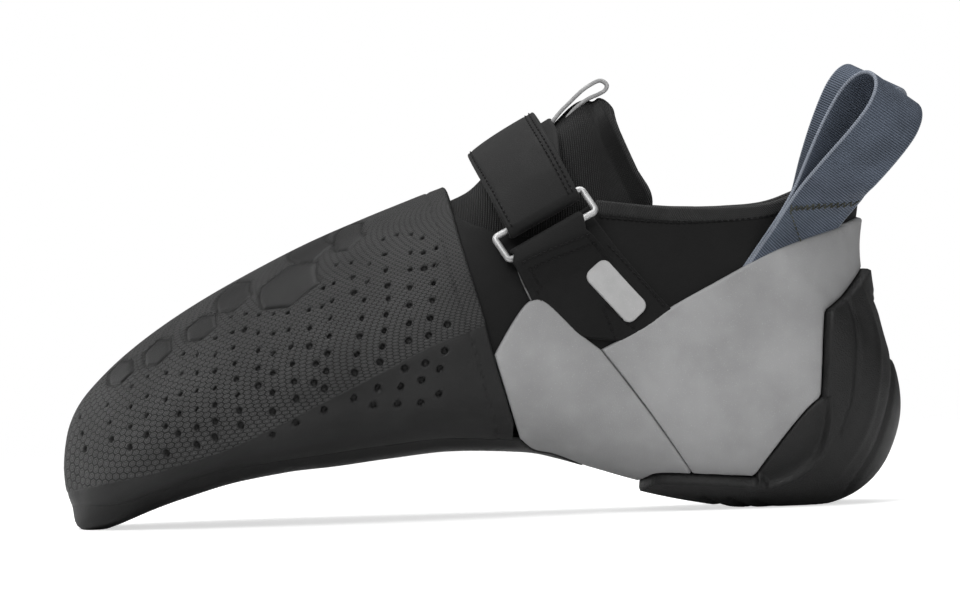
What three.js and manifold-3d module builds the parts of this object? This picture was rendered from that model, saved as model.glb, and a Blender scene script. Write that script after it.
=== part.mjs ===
// A downturned climbing shoe for the left foot, in millimetres, standing on toe and heel.
// +X runs from the toe to the heel, the outer side faces -Y, +Z is up.
// The origin is the heel's resting point on the floor.
import * as THREE from 'three';
import { mergeVertices } from 'three/addons/utils/BufferGeometryUtils.js';
import Module from 'manifold-3d';

const wasm = await Module();
wasm.setup();

// Driving dimensions of the whole shoe
const LENGTH = 252; // toe tip to back of heel, over the rubber
const HEEL_OVERHANG = 29.5; // back of heel behind the resting point
const INSTEP_HEIGHT = 98; // floor to the back edge of the toe patch
const BALL_WIDTH = 92; // over the rubber
const HEEL_WIDTH = 66; // over the heel cup's sides

// Thickness of each layer
const GAP = 0.3; // between curved pieces that touch
const UPPER_WALL = 2.2;
const PATCH_THICKNESS = 1.9;
const RAND_THICKNESS = 1.5;
const SOLE_THICKNESS = 4.2;
const ARCH_THICKNESS = 2;
const CUP_THICKNESS = 4.4;
const CUP_RECESS_THICKNESS = 1.9; // the sunk triangle at the front of the heel cup
const INSOLE_THICKNESS = 2.5;
const TONGUE_THICKNESS = 4.5;

// Closing strap, its ring and its anchor
const STRAP_THICKNESS = 1.6;
const STRAP_LIFT = 1.1; // the strap's lower layer above the upper and tongue
const ANCHOR_THICKNESS = 1.3;
const BADGE_THICKNESS = 0.8;
const BADGE_WIDTH = 8.5;
const BADGE_CORNER = 2.6; // radius
const RING_BAR = 2; // diameter of the wire
const RING_SLOT = 6.4; // clear space between the two long bars
const RING_CLEARANCE = 0.3; // wire to the cloth folded round it
const RING_MARGIN = 0.9; // strap's back edge to the wire's short bar
const RING_FRONT_MARGIN = 3.3; // strap's front edge to the wire's other short bar

// Pull loops at the heel, and the small loop on the tongue
const WEBBING_WIDTH = 20;
const WEBBING_THICKNESS = 1.2;
const PULL_LOOP_LENGTH = 56;
const PULL_LOOP_OPENING = 16;
const TAB_WIDTH = 9;
const TAB_THICKNESS = 1.2;

const SECTION_POINTS = 24; // points round one section of the last

function table(columns, rows) {
  return rows.map((row) => Object.fromEntries(columns.map((name, i) => [name, row[i]])));
}

// The last, one row for each girth section, from the toe tip along the sole and up the heel.
// L is a share of LENGTH from the toe tip and H of INSTEP_HEIGHT. Y is a share of BALL_WIDTH.
// outer and inner are half widths as shares of half the width between BALL_WIDTH and HEEL_WIDTH,
// which heel mixes. belly is the height of the widest place, and square and crown how far the
// lower and upper half are from a plain ellipse, at 2.
const LAST = table(
  ['bottomL', 'bottomH', 'topL', 'topH', 'bottomY', 'topY', 'outer', 'inner', 'heel', 'belly',
    'square', 'crown'],
  [
    [0.008, 0.189, 0.008, 0.189, 0.166, 0.166, 0, 0, 0, 0.5, 2, 2],
    [0.01, 0.128, 0.011, 0.255, 0.165, 0.17, 0.15, 0.16, 0, 0.45, 2.2, 2],
    [0.016, 0.076, 0.017, 0.316, 0.16, 0.168, 0.235, 0.225, 0, 0.42, 2.4, 2],
    [0.025, 0.041, 0.03, 0.378, 0.155, 0.168, 0.325, 0.295, 0, 0.4, 2.7, 2],
    [0.039, 0.04, 0.052, 0.441, 0.145, 0.168, 0.452, 0.384, 0, 0.37, 2.9, 2],
    [0.065, 0.062, 0.083, 0.512, 0.128, 0.168, 0.598, 0.489, 0, 0.35, 2.9, 2],
    [0.101, 0.098, 0.125, 0.59, 0.105, 0.164, 0.733, 0.594, 0, 0.34, 2.8, 2],
    [0.145, 0.135, 0.175, 0.668, 0.08, 0.156, 0.85, 0.68, 0, 0.34, 2.7, 2],
    [0.2, 0.174, 0.236, 0.75, 0.055, 0.145, 0.95, 0.742, 0, 0.35, 2.6, 2],
    [0.264, 0.2, 0.304, 0.832, 0.03, 0.13, 1.02, 0.785, 0, 0.36, 2.5, 2],
    [0.327, 0.216, 0.371, 0.9, 0.01, 0.11, 1.045, 0.806, 0, 0.37, 2.4, 2],
    [0.391, 0.234, 0.433, 0.958, -0.006, 0.088, 1.03, 0.8, 0, 0.38, 2.4, 2],
    [0.454, 0.246, 0.486, 1.008, -0.018, 0.066, 1.06, 0.84, 0.2, 0.38, 2.3, 2],
    [0.514, 0.231, 0.534, 1.087, -0.024, 0.047, 1.075, 0.87, 0.4, 0.37, 2.3, 2],
    [0.573, 0.204, 0.577, 1.151, -0.026, 0.03, 1.084, 0.913, 0.6, 0.36, 2.3, 2],
    [0.629, 0.159, 0.613, 1.204, -0.022, 0.018, 1.1, 0.96, 0.8, 0.34, 2.3, 2],
    [0.685, 0.112, 0.641, 1.245, -0.017, 0.01, 1.12, 1.02, 1, 0.32, 2.3, 2],
    [0.74, 0.076, 0.648, 1.257, -0.011, 0.006, 1.08, 1.02, 1, 0.3, 2.3, 2.05],
    [0.796, 0.05, 0.653, 1.268, -0.006, 0.003, 1.04, 1.01, 1, 0.28, 2.3, 2.1],
    [0.847, 0.04, 0.658, 1.28, -0.002, 0, 1.01, 1.0, 1, 0.28, 2.3, 2.15],
    [0.895, 0.042, 0.662, 1.29, 0, 0, 1.0, 1.0, 1, 0.3, 2.2, 2.2],
    [0.931, 0.069, 0.666, 1.3, 0, 0, 1.0, 1.0, 1, 0.32, 2.1, 2.2],
    [0.957, 0.122, 0.67, 1.31, 0, 0, 1.0, 1.0, 1, 0.34, 2.05, 2.2],
    [0.973, 0.194, 0.674, 1.32, 0, 0, 0.99, 0.99, 1, 0.36, 2, 2.2],
    [0.982, 0.281, 0.678, 1.33, 0, 0, 0.98, 0.98, 1, 0.38, 2, 2.2],
    [0.98, 0.372, 0.682, 1.34, 0, 0, 0.97, 0.97, 1, 0.4, 2, 2.2],
    [0.969, 0.469, 0.686, 1.35, 0, 0, 0.955, 0.955, 1, 0.42, 2, 2.15],
    [0.96, 0.571, 0.69, 1.36, 0, 0, 0.935, 0.935, 1, 0.44, 2, 2.1],
    [0.954, 0.679, 0.694, 1.37, 0, 0, 0.915, 0.915, 1, 0.46, 2, 2.05],
    [0.952, 0.786, 0.698, 1.38, 0, 0, 0.9, 0.9, 1, 0.47, 2, 2],
    [0.958, 0.898, 0.702, 1.39, 0, 0, 0.89, 0.89, 1, 0.48, 2, 2],
    [0.966, 1.02, 0.706, 1.4, 0, 0, 0.89, 0.89, 1, 0.48, 2, 2],
  ],
);
const LAST_END = LAST.length - 1;
// Rings stand closer together at the toe, where the last turns fastest
const STATIONS = [0.15, 0.5, 1, 1.7, 2.5, 3.2, 4].concat(
  Array.from({ length: LAST_END - 4 }, (_, i) => i + 5),
);

// Outlines in the side view, as shares of LENGTH and INSTEP_HEIGHT. Each is a list of stretches,
// and each stretch is a smooth curve through its points.
const PATCH_REAR = [[0.462, 1.06], [0.473, 0.98], [0.489, 0.816], [0.508, 0.627], [0.519, 0.501],
  [0.531, 0.389], [0.546, 0.256]];
const SOLE_EDGE = [[-0.02, 0.072], [0.011, 0.081], [0.08, 0.108], [0.189, 0.193], [0.297, 0.231],
  [0.404, 0.261], [0.464, 0.27], [0.523, 0.262], [0.546, 0.256]];
const FRONT_RAND_TOP = [[0.519, 0.501], [0.536, 0.573], [0.553, 0.635], [0.565, 0.661],
  [0.58, 0.657], [0.6, 0.609], [0.617, 0.562], [0.644, 0.504]];
const RAND_JOINT = [[0.644, 0.504], [0.697, 0.321], [0.749, 0.126]];
const FRONT_RAND_LOW = [[0.546, 0.256], [0.563, 0.221], [0.586, 0.206], [0.605, 0.186],
  [0.636, 0.149], [0.668, 0.119], [0.682, 0.099]];
const CUP_FRONT = [[0.682, 0.099], [0.698, 0.122], [0.712, 0.132], [0.749, 0.126]];
const CUP_TOP = [[0.749, 0.126], [0.821, 0.11]];
const REAR_RAND_TOP = [[0.644, 0.504], [0.696, 0.569], [0.728, 0.622], [0.782, 0.693],
  [0.854, 0.784], [0.929, 0.847], [0.959, 0.875]];
const CUP_EDGE = [[0.821, 0.11], [0.845, 0.187], [0.881, 0.294], [0.901, 0.338]];
const CUP_SIDE = [[0.901, 0.338], [0.905, 0.479], [0.908, 0.592]];
const CUP_SHOULDER = [[0.908, 0.592], [0.927, 0.63], [0.947, 0.692], [0.956, 0.728]];
const CUP_RIDGE = [[0.906, 0.338], [0.903, 0.258], [0.893, 0.18], [0.867, 0.124], [0.837, 0.102]];
const THROAT = [[0.452, 1.1], [0.468, 0.99], [0.482, 0.925], [0.521, 0.88], [0.556, 0.858],
  [0.592, 0.872], [0.643, 0.952]];
const COLLAR = [[0.643, 0.952], [0.712, 0.929], [0.759, 0.919], [0.807, 0.917], [0.855, 0.928],
  [0.909, 0.972], [0.966, 0.985], [1.02, 0.985]];
const TONGUE_EDGE = [[0.652, 1.34], [0.656, 1.285], [0.66, 1.258], [0.676, 1.165], [0.694, 1.06],
  [0.712, 0.96], [0.704, 0.83]];
const TONGUE_FOOT = [[0.704, 0.83], [0.6, 0.74], [0.5, 0.8], [0.44, 0.93], [0.436, 1.1]];
const INSOLE_EDGE = [[-0.02, 0.16], [0.08, 0.19], [0.189, 0.275], [0.32, 0.32], [0.464, 0.34],
  [0.573, 0.31], [0.685, 0.21], [0.8, 0.15], [0.93, 0.16], [1.05, 0.2]];
// Edges of the strap at its ring and at the ridge, and of the panel that anchors the ring
const STRAP_FRONT = [[0.5365, 0.879], [0.511, 1.052]];
const STRAP_BACK = [[0.618, 0.989], [0.587, 1.194]];
const ANCHOR_FRONT = [[0.549, 0.79], [0.556, 0.718], [0.575, 0.56]];
const ANCHOR_BACK = [[0.638, 0.915], [0.676, 0.78], [0.728, 0.622], [0.79, 0.48]];
// Middle line of the badge from end to end, and route of the small loop along the tongue's ridge
const BADGE_AXIS = [[0.638, 0.752], [0.69, 0.599]];
const TAB_PATH = [[0.594, 1.192], [0.608, 1.226], [0.621, 1.256], [0.636, 1.29], [0.65, 1.314],
  [0.659, 1.32], [0.6655, 1.308], [0.6645, 1.293], [0.657, 1.281]];

// Places round the last for the strap, from 0 under the sole over the outer side to 1 at the
// ridge and on to 2 over the inner side
const RING_PLACE = 0.705;
const STRAP_FREE_END = 1.24;
const STRAP_ROOT = 1.4;
const BAND_SLANT = 0.042; // how much higher the back edge of the band lies than its front edge
const ANCHOR_SEAM = 0.1; // from the ring's upper bar down to where the fold joins the panel
const STRAP_STATIONS = [10.5, 19]; // the last's rows between which it lies

// The folded webbing of a pull loop: share of its length, and share of half its opening
const LOOP_FOLD = table(['along', 'out'], [
  [-0.3, 0], [0, 0], [0.14, 0], [0.28, 0.1], [0.45, 0.42], [0.62, 0.78], [0.76, 0.98],
  [0.86, 1], [0.94, 0.78], [0.985, 0.4], [1, 0],
]);
// In the side view, under the edge of the rear rand
const LOOP_ROOT = { outer: [0.869, 0.79], inner: [0.885, 0.79] };
const LOOP_LEAN = { outer: 35.5, inner: 28 }; // degrees back from upright
const LOOP_ROOT_TURN = 28; // degrees that the root follows the curve of the heel
const LOOP_WIDTH_DIRECTION = new THREE.Vector3(0.76, 0.5, -0.41); // at the top of the outer loop

const toeX = HEEL_OVERHANG - LENGTH;
const sideX = (l) => toeX + l * LENGTH;
const sideZ = (h) => h * INSTEP_HEIGHT;
const mix = (a, b, t) => a + (b - a) * t;
const smooth = (t) => THREE.MathUtils.smoothstep(t, 0, 1);
const halfBall = BALL_WIDTH / 2 - PATCH_THICKNESS - GAP;
const halfHeel = HEEL_WIDTH / 2 - CUP_THICKNESS - GAP;

function catmullRom(t, p0, p1, p2, p3) {
  const v0 = (p2 - p0) / 2;
  const v1 = (p3 - p1) / 2;
  const a = 2 * p1 - 2 * p2 + v0 + v1;
  const b = -3 * p1 + 3 * p2 - 2 * v0 - v1;
  return ((a * t + b) * t + v0) * t + p1;
}

// One column of the last's table at any station between its rows
function lastValue(column, station) {
  const i = Math.min(Math.floor(station), LAST_END - 1);
  const row = (k) => LAST[THREE.MathUtils.clamp(k, 0, LAST_END)][column];
  return catmullRom(station - i, row(i - 1), row(i), row(i + 1), row(i + 2));
}

// A point of the last. round runs from 0 under the sole to 1 at the ridge over the inner side,
// and to -1 over the outer side.
function lastPoint(station, round) {
  const value = (column) => lastValue(column, station);
  const turn = Math.PI * Math.min(Math.abs(round), 2 - Math.abs(round));
  const side = Math.sign(round) * (Math.abs(round) > 1 ? -1 : 1);
  const cosine = Math.cos(turn);
  const power = 2 / (cosine > 0 ? value('square') : value('crown'));
  const belly = value('belly');
  const reach = Math.pow(Math.abs(cosine), power);
  const up = cosine > 0 ? belly * (1 - reach) : belly + (1 - belly) * reach;
  const width = mix(halfBall, halfHeel, value('heel')) * value(side < 0 ? 'outer' : 'inner');
  const middle = mix(value('bottomY'), value('topY'), smooth(up)) * BALL_WIDTH;
  return new THREE.Vector3(
    sideX(mix(value('bottomL'), value('topL'), up)),
    middle + side * width * Math.pow(Math.sin(turn), power),
    sideZ(mix(value('bottomH'), value('topH'), up)),
  );
}

// A point at a distance outside the last, or inside it where the distance is negative
function skinPoint(station, round, distance) {
  const step = 0.01;
  const before = Math.max(station - step, 0.05);
  const after = Math.min(station + step, LAST_END);
  const along = lastPoint(after, round).sub(lastPoint(before, round));
  const around = lastPoint(station, round + step).sub(lastPoint(station, round - step));
  const normal = along.cross(around).normalize().negate();
  return lastPoint(station, round).addScaledVector(normal, distance);
}

// A closed solid lofted through rings of points, with a point or a flat fan at each end
function loft(rings, startPoint) {
  const count = rings[0].length;
  const centre = (ring) => ring.reduce((sum, p) => sum.clone().add(p)).divideScalar(count);
  const points = [...rings.flat(), startPoint ?? centre(rings[0]), centre(rings.at(-1))];
  const index = [];
  for (let r = 0; r < rings.length - 1; r += 1) {
    for (let k = 0; k < count; k += 1) {
      const a = r * count + k;
      const b = r * count + ((k + 1) % count);
      index.push(a, b, a + count, b, b + count, a + count);
    }
  }
  const first = points.length - 2;
  const last = points.length - 1;
  const top = (rings.length - 1) * count;
  for (let k = 0; k < count; k += 1) {
    const next = (k + 1) % count;
    index.push(first, next, k);
    index.push(last, top + k, top + next);
  }
  return solidFrom(points, index);
}

// A ring-shaped solid lofted through rings of points, back to the first
function closedLoft(rings) {
  const count = rings[0].length;
  const index = [];
  for (let r = 0; r < rings.length; r += 1) {
    for (let k = 0; k < count; k += 1) {
      const a = r * count + k;
      const b = r * count + ((k + 1) % count);
      const c = ((r + 1) % rings.length) * count + k;
      const d = ((r + 1) % rings.length) * count + ((k + 1) % count);
      index.push(a, b, c, b, d, c);
    }
  }
  return solidFrom(rings.flat(), index);
}

function solidFrom(points, index) {
  const geometry = new THREE.BufferGeometry().setFromPoints(points).setIndex(index);
  const solid = toSolid(geometry);
  return solid.volume() < 0 ? toSolid(turnedInsideOut(geometry)) : solid;
}

function turnedInsideOut(geometry) {
  const index = geometry.index.array;
  const turned = [];
  for (let i = 0; i < index.length; i += 3) turned.push(index[i], index[i + 2], index[i + 1]);
  return geometry.clone().setIndex(turned);
}

function toSolid(geometry) {
  const plain = geometry.clone();
  plain.deleteAttribute('normal');
  plain.deleteAttribute('uv');
  const merged = mergeVertices(plain, 1e-4);
  return new wasm.Manifold(new wasm.Mesh({
    numProp: 3,
    vertProperties: merged.attributes.position.array,
    triVerts: new Uint32Array(merged.index.array),
  }));
}

// The whole foot form at a distance from the last, which may be a function of station and round
function skin(distance) {
  const at = typeof distance === 'function' ? distance : () => distance;
  const rings = STATIONS.map((station) => Array.from({ length: SECTION_POINTS }, (_, k) => {
    const round = (2 * k) / SECTION_POINTS - 1;
    return skinPoint(station, round, at(station, round));
  }));
  const tip = lastPoint(0, 0).add(new THREE.Vector3(-at(0, 0), 0, 0));
  return loft(rings, tip);
}

// A smooth curve through the points of one stretch, in millimetres
function curve(stretch, steps = 2) {
  const points = stretch.map(([l, h]) => new THREE.Vector2(sideX(l), sideZ(h)));
  if (points.length < 3) return points;
  return new THREE.SplineCurve(points).getPoints((points.length - 1) * steps);
}

// A slab right through the shoe, cut to an outline in the side view that is grown by a margin
function slab(stretches, margin = 0) {
  const outline = stretches
    .flatMap((stretch) => (Array.isArray(stretch[0]) ? curve(stretch) : [stretch]))
    .filter((p, i, all) => p.distanceTo(all[(i + 1) % all.length]) > 1e-3);
  if (THREE.ShapeUtils.isClockWise(outline)) outline.reverse();
  const grown = outline.map((p, i) => {
    const before = outline[(i + outline.length - 1) % outline.length];
    const after = outline[(i + 1) % outline.length];
    const a = p.clone().sub(before).normalize();
    const b = after.clone().sub(p).normalize();
    const out = new THREE.Vector2(a.y + b.y, -a.x - b.x).normalize();
    const widen = 1 / Math.max(0.5, Math.sqrt((1 + a.dot(b)) / 2));
    return p.clone().addScaledVector(out, margin * widen);
  });
  const depth = 2 * BALL_WIDTH;
  const geometry = new THREE.ExtrudeGeometry(new THREE.Shape(grown), {
    depth,
    bevelEnabled: false,
    steps: 1,
  });
  geometry.rotateX(Math.PI / 2);
  geometry.translate(0, depth / 2, 0);
  return toSolid(geometry);
}

const corner = (l, h) => new THREE.Vector2(sideX(l), sideZ(h));
const reversed = (stretch) => [...stretch].reverse();

function block(min, max) {
  const size = new THREE.Vector3().subVectors(max, min);
  const geometry = new THREE.BoxGeometry(size.x, size.y, size.z);
  geometry.translate(...new THREE.Vector3().addVectors(min, max).divideScalar(2));
  return toSolid(geometry);
}

const reachFar = 2 * LENGTH;
const aboveFloor = block(
  new THREE.Vector3(-reachFar, -reachFar, 0),
  new THREE.Vector3(reachFar, reachFar, reachFar),
);
const outerSide = block(
  new THREE.Vector3(-reachFar, -reachFar, -reachFar),
  new THREE.Vector3(reachFar, -GAP / 2, reachFar),
);
const innerSide = block(
  new THREE.Vector3(-reachFar, GAP / 2, -reachFar),
  new THREE.Vector3(reachFar, reachFar, reachFar),
);

const lastForm = skin(0);
const touching = skin(GAP);
const inside = skin(-UPPER_WALL);

function opening() {
  return slab([THROAT, COLLAR, corner(1.02, 1.7), corner(0.452, 1.7)]);
}

// The window in the upper's bottom that the sole closes
function soleWindow() {
  const share = 0.3;
  const deep = 2 * UPPER_WALL;
  const stations = Array.from({ length: 14 }, (_, i) => i + 4);
  return loft(stations.map((station) => [
    skinPoint(station, -share, deep),
    skinPoint(station, share, deep),
    skinPoint(station, share, -deep),
    skinPoint(station, -share, -deep),
  ]));
}

function upper() {
  return lastForm.subtract(inside).subtract(opening()).subtract(soleWindow());
}

function toePatch() {
  const region = slab([
    reversed(PATCH_REAR), corner(-0.02, 1.06), SOLE_EDGE,
  ], -GAP / 2);
  return skin(GAP + PATCH_THICKNESS).subtract(touching).intersect(region);
}

// The sole is thick underfoot and as thick as the toe patch where it turns up at its edge
function soleDistance(station, round) {
  const underfoot = mix(SOLE_THICKNESS, ARCH_THICKNESS, smooth((station - 11.5) / 2.5));
  const edge = smooth((Math.abs(round) - 0.2) / 0.16);
  const tip = 1 - smooth((station - 1) / 2.6);
  return GAP + mix(underfoot, PATCH_THICKNESS, Math.max(edge, tip));
}

function outsole() {
  const region = slab([
    SOLE_EDGE, FRONT_RAND_LOW, corner(0.69, 0.05), corner(0.69, -0.3), corner(-0.02, -0.3),
  ], -GAP / 2);
  return skin(soleDistance).subtract(touching).intersect(region).intersect(aboveFloor);
}

function frontRandRegion(margin) {
  return slab([
    FRONT_RAND_TOP, RAND_JOINT, reversed(CUP_FRONT), reversed(FRONT_RAND_LOW),
    reversed(PATCH_REAR).slice(0, 3),
  ], margin);
}

function rearRandRegion(margin) {
  return slab([
    REAR_RAND_TOP, corner(1.04, 0.88), corner(1.04, 0.728), reversed(CUP_SHOULDER),
    reversed(CUP_SIDE), reversed(CUP_EDGE), reversed(CUP_TOP), reversed(RAND_JOINT),
  ], margin);
}

function frontRand(side) {
  return skin(GAP + RAND_THICKNESS).subtract(touching).intersect(frontRandRegion(-GAP / 2))
    .intersect(side);
}

function rearRand() {
  return skin(GAP + RAND_THICKNESS).subtract(touching).intersect(rearRandRegion(-GAP / 2));
}

function heelCup() {
  const region = slab([
    CUP_FRONT, CUP_TOP, CUP_EDGE, CUP_SIDE, CUP_SHOULDER, corner(1.04, 0.728),
    corner(1.04, -0.1), corner(0.69, -0.1),
  ], -GAP / 2);
  const recess = slab([reversed(CUP_RIDGE), corner(0.7, 0.36)]);
  const thick = skin(GAP + CUP_THICKNESS).subtract(touching).intersect(region);
  const thin = skin(GAP + CUP_RECESS_THICKNESS);
  return thick.subtract(recess.subtract(thin)).intersect(aboveFloor);
}

function insole() {
  const region = slab([INSOLE_EDGE, corner(1.05, -0.1), corner(-0.02, -0.1)]);
  const over = -UPPER_WALL - GAP;
  return skin(over).subtract(skin(over - INSOLE_THICKNESS)).intersect(region);
}

function tongueDistance(station, round) {
  const throat = smooth((station - 12) / 1) * smooth((Math.abs(round) - 0.76) / 0.14);
  return mix(-UPPER_WALL - 1.5 * GAP, -GAP, throat);
}

function tongue() {
  const region = slab([TONGUE_EDGE, TONGUE_FOOT, corner(0.436, 1.5), corner(0.664, 1.5)]);
  const outer = skin(tongueDistance);
  const inner = skin(-UPPER_WALL - GAP - TONGUE_THICKNESS);
  return outer.subtract(inner).intersect(region);
}

// A place on the strap's band: across runs from 0 at its front edge to 1 at its back edge
function bandPoint(across, place, distance) {
  const end = (k) => new THREE.Vector2(
    sideX(mix(STRAP_FRONT[k][0], STRAP_BACK[k][0], across)),
    sideZ(mix(STRAP_FRONT[k][1], STRAP_BACK[k][1], across)),
  );
  const start = end(0);
  const run = end(1).sub(start);
  const round = place + BAND_SLANT * (across - 0.5);
  let low = STRAP_STATIONS[0];
  let high = STRAP_STATIONS[1];
  for (let i = 0; i < 30; i += 1) {
    const middle = (low + high) / 2;
    const p = lastPoint(middle, -round);
    const behind = run.x * (p.z - start.y) - run.y * (p.x - start.x) < 0;
    if (behind) high = middle;
    else low = middle;
  }
  return skinPoint((low + high) / 2, -round, distance);
}

// The ring lies flat on the outer side, with its upper bar in the strap's fold and its lower bar
// in the anchor's
const ringDistance = STRAP_LIFT + STRAP_THICKNESS + RING_CLEARANCE + RING_BAR / 2;
const ringFront = bandPoint(0, RING_PLACE, ringDistance);
const ringBack = bandPoint(1, RING_PLACE, ringDistance);
const strapWidth = ringFront.distanceTo(ringBack);
const ringAlong = ringBack.clone().sub(ringFront).normalize();
const ringUp = bandPoint(0.5, RING_PLACE, ringDistance)
  .sub(bandPoint(0.5, RING_PLACE - 0.06, ringDistance));
ringUp.addScaledVector(ringAlong, -ringUp.dot(ringAlong)).normalize();
const ringOut = ringAlong.clone().cross(ringUp);
const upperBar = ringFront.clone().lerp(ringBack, 0.5);
const lowerBar = upperBar.clone().addScaledVector(ringUp, -RING_SLOT - RING_BAR);

// A section of a fold round a bar, as rows of places across it, at an angle from the outward side
function foldSection(bar, width, thickness, angle, upward) {
  const radius = RING_BAR / 2 + RING_CLEARANCE;
  const arm = ringOut.clone().multiplyScalar(Math.cos(angle))
    .addScaledVector(ringUp, upward * Math.sin(angle));
  const at = (share, reach) => bar.clone()
    .addScaledVector(ringAlong, (share - 0.5) * width)
    .addScaledVector(arm, reach);
  return [0, 0.5, 1].map((share) => at(share, radius + thickness))
    .concat([1, 0.5, 0].map((share) => at(share, radius)));
}

function bandSection(place, low, thickness) {
  return [0, 0.5, 1].map((across) => bandPoint(across, place, low + thickness))
    .concat([1, 0.5, 0].map((across) => bandPoint(across, place, low)));
}

function places(from, to, count) {
  return Array.from({ length: count }, (_, i) => mix(from, to, i / (count - 1)));
}

const FOLD_ANGLES = places(0, Math.PI, 7);

function strap() {
  const reach = RING_BAR / 2 + RING_CLEARANCE;
  const start = RING_PLACE + 0.045;
  const upperLayer = places(STRAP_FREE_END, start, 11)
    .map((place) => bandSection(place, ringDistance + reach, STRAP_THICKNESS));
  const fold = FOLD_ANGLES
    .map((angle) => foldSection(upperBar, strapWidth, STRAP_THICKNESS, angle, -1));
  const lowerLayer = places(start, STRAP_ROOT, 14).map((place) => (
    bandSection(place, ringDistance - reach - STRAP_THICKNESS, STRAP_THICKNESS).reverse()
  ));
  return loft([...upperLayer, ...fold, ...lowerLayer]);
}

function ring() {
  const halfLong = (strapWidth + RING_MARGIN + RING_FRONT_MARGIN + RING_BAR) / 2;
  const halfShort = (RING_SLOT + RING_BAR) / 2;
  const bend = RING_BAR * 0.8; // radius of the corners
  const centre = upperBar.clone().lerp(lowerBar, 0.5)
    .addScaledVector(ringAlong, (RING_MARGIN - RING_FRONT_MARGIN) / 2);
  const corners = [[1, 1, 0], [-1, 1, 90], [-1, -1, 180], [1, -1, 270]];
  const rings = corners.flatMap(([x, y, turn]) => [0, 30, 60, 90].map((step) => {
    const angle = THREE.MathUtils.degToRad(turn + step);
    const outward = ringAlong.clone().multiplyScalar(Math.cos(angle))
      .addScaledVector(ringUp, Math.sin(angle));
    const at = centre.clone()
      .addScaledVector(ringAlong, x * (halfLong - bend))
      .addScaledVector(ringUp, y * (halfShort - bend))
      .addScaledVector(outward, bend);
    return Array.from({ length: 8 }, (_, k) => {
      const round = (k * Math.PI) / 4;
      return at.clone().addScaledVector(outward, (Math.cos(round) * RING_BAR) / 2)
        .addScaledVector(ringOut, (Math.sin(round) * RING_BAR) / 2);
    });
  }));
  return closedLoft(rings);
}

function anchor() {
  const region = slab([
    ANCHOR_BACK, reversed(ANCHOR_FRONT),
  ]);
  const panel = skin(GAP + ANCHOR_THICKNESS).subtract(touching).intersect(region)
    .intersect(outerSide).subtract(frontRandRegion(GAP / 2)).subtract(rearRandRegion(GAP / 2));
  const foldRound = FOLD_ANGLES
    .map((angle) => foldSection(lowerBar, strapWidth, ANCHOR_THICKNESS, angle, 1));
  const seam = bandSection(RING_PLACE - ANCHOR_SEAM, GAP + ANCHOR_THICKNESS / 4, ANCHOR_THICKNESS / 2);
  return panel.add(loft([seam, ...foldRound]));
}

function badge() {
  const [from, to] = BADGE_AXIS.map(([l, h]) => new THREE.Vector2(sideX(l), sideZ(h)));
  const along = to.clone().sub(from).normalize();
  const across = new THREE.Vector2(-along.y, along.x);
  const centre = from.clone().lerp(to, 0.5);
  const halfLong = from.distanceTo(to) / 2 - BADGE_CORNER;
  const halfWide = BADGE_WIDTH / 2 - BADGE_CORNER;
  const corners = [[1, 1], [-1, 1], [-1, -1], [1, -1]];
  const outline = corners.flatMap(([x, y], quarter) => places(0, Math.PI / 2, 4).map((angle) => {
    const turn = angle + (quarter * Math.PI) / 2;
    return centre.clone()
      .addScaledVector(along, x * halfLong + BADGE_CORNER * Math.cos(turn))
      .addScaledVector(across, y * halfWide + BADGE_CORNER * Math.sin(turn));
  }));
  const low = GAP + ANCHOR_THICKNESS + GAP;
  return skin(low + BADGE_THICKNESS).subtract(skin(low)).intersect(slab(outline))
    .intersect(outerSide);
}

// The place on one side of the last that is seen at a point of the side view
function placeAt(l, h, side) {
  const miss = ([station, round]) => {
    const p = lastPoint(station, side * round);
    return Math.hypot(p.x - sideX(l), p.z - sideZ(h));
  };
  let best = [LAST_END / 2, 0.5];
  for (let step = 1; step > 1e-3; step /= 1.3) {
    const tries = [-1, 0, 1].flatMap((i) => [-1, 0, 1].map((j) => [
      THREE.MathUtils.clamp(best[0] + i * step * 6, 1, LAST_END - 1),
      THREE.MathUtils.clamp(best[1] + j * step * 0.2, 0.02, 0.98),
    ]));
    best = tries.reduce((a, b) => (miss(b) < miss(a) ? b : a));
  }
  return { station: best[0], round: side * best[1] };
}

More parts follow.
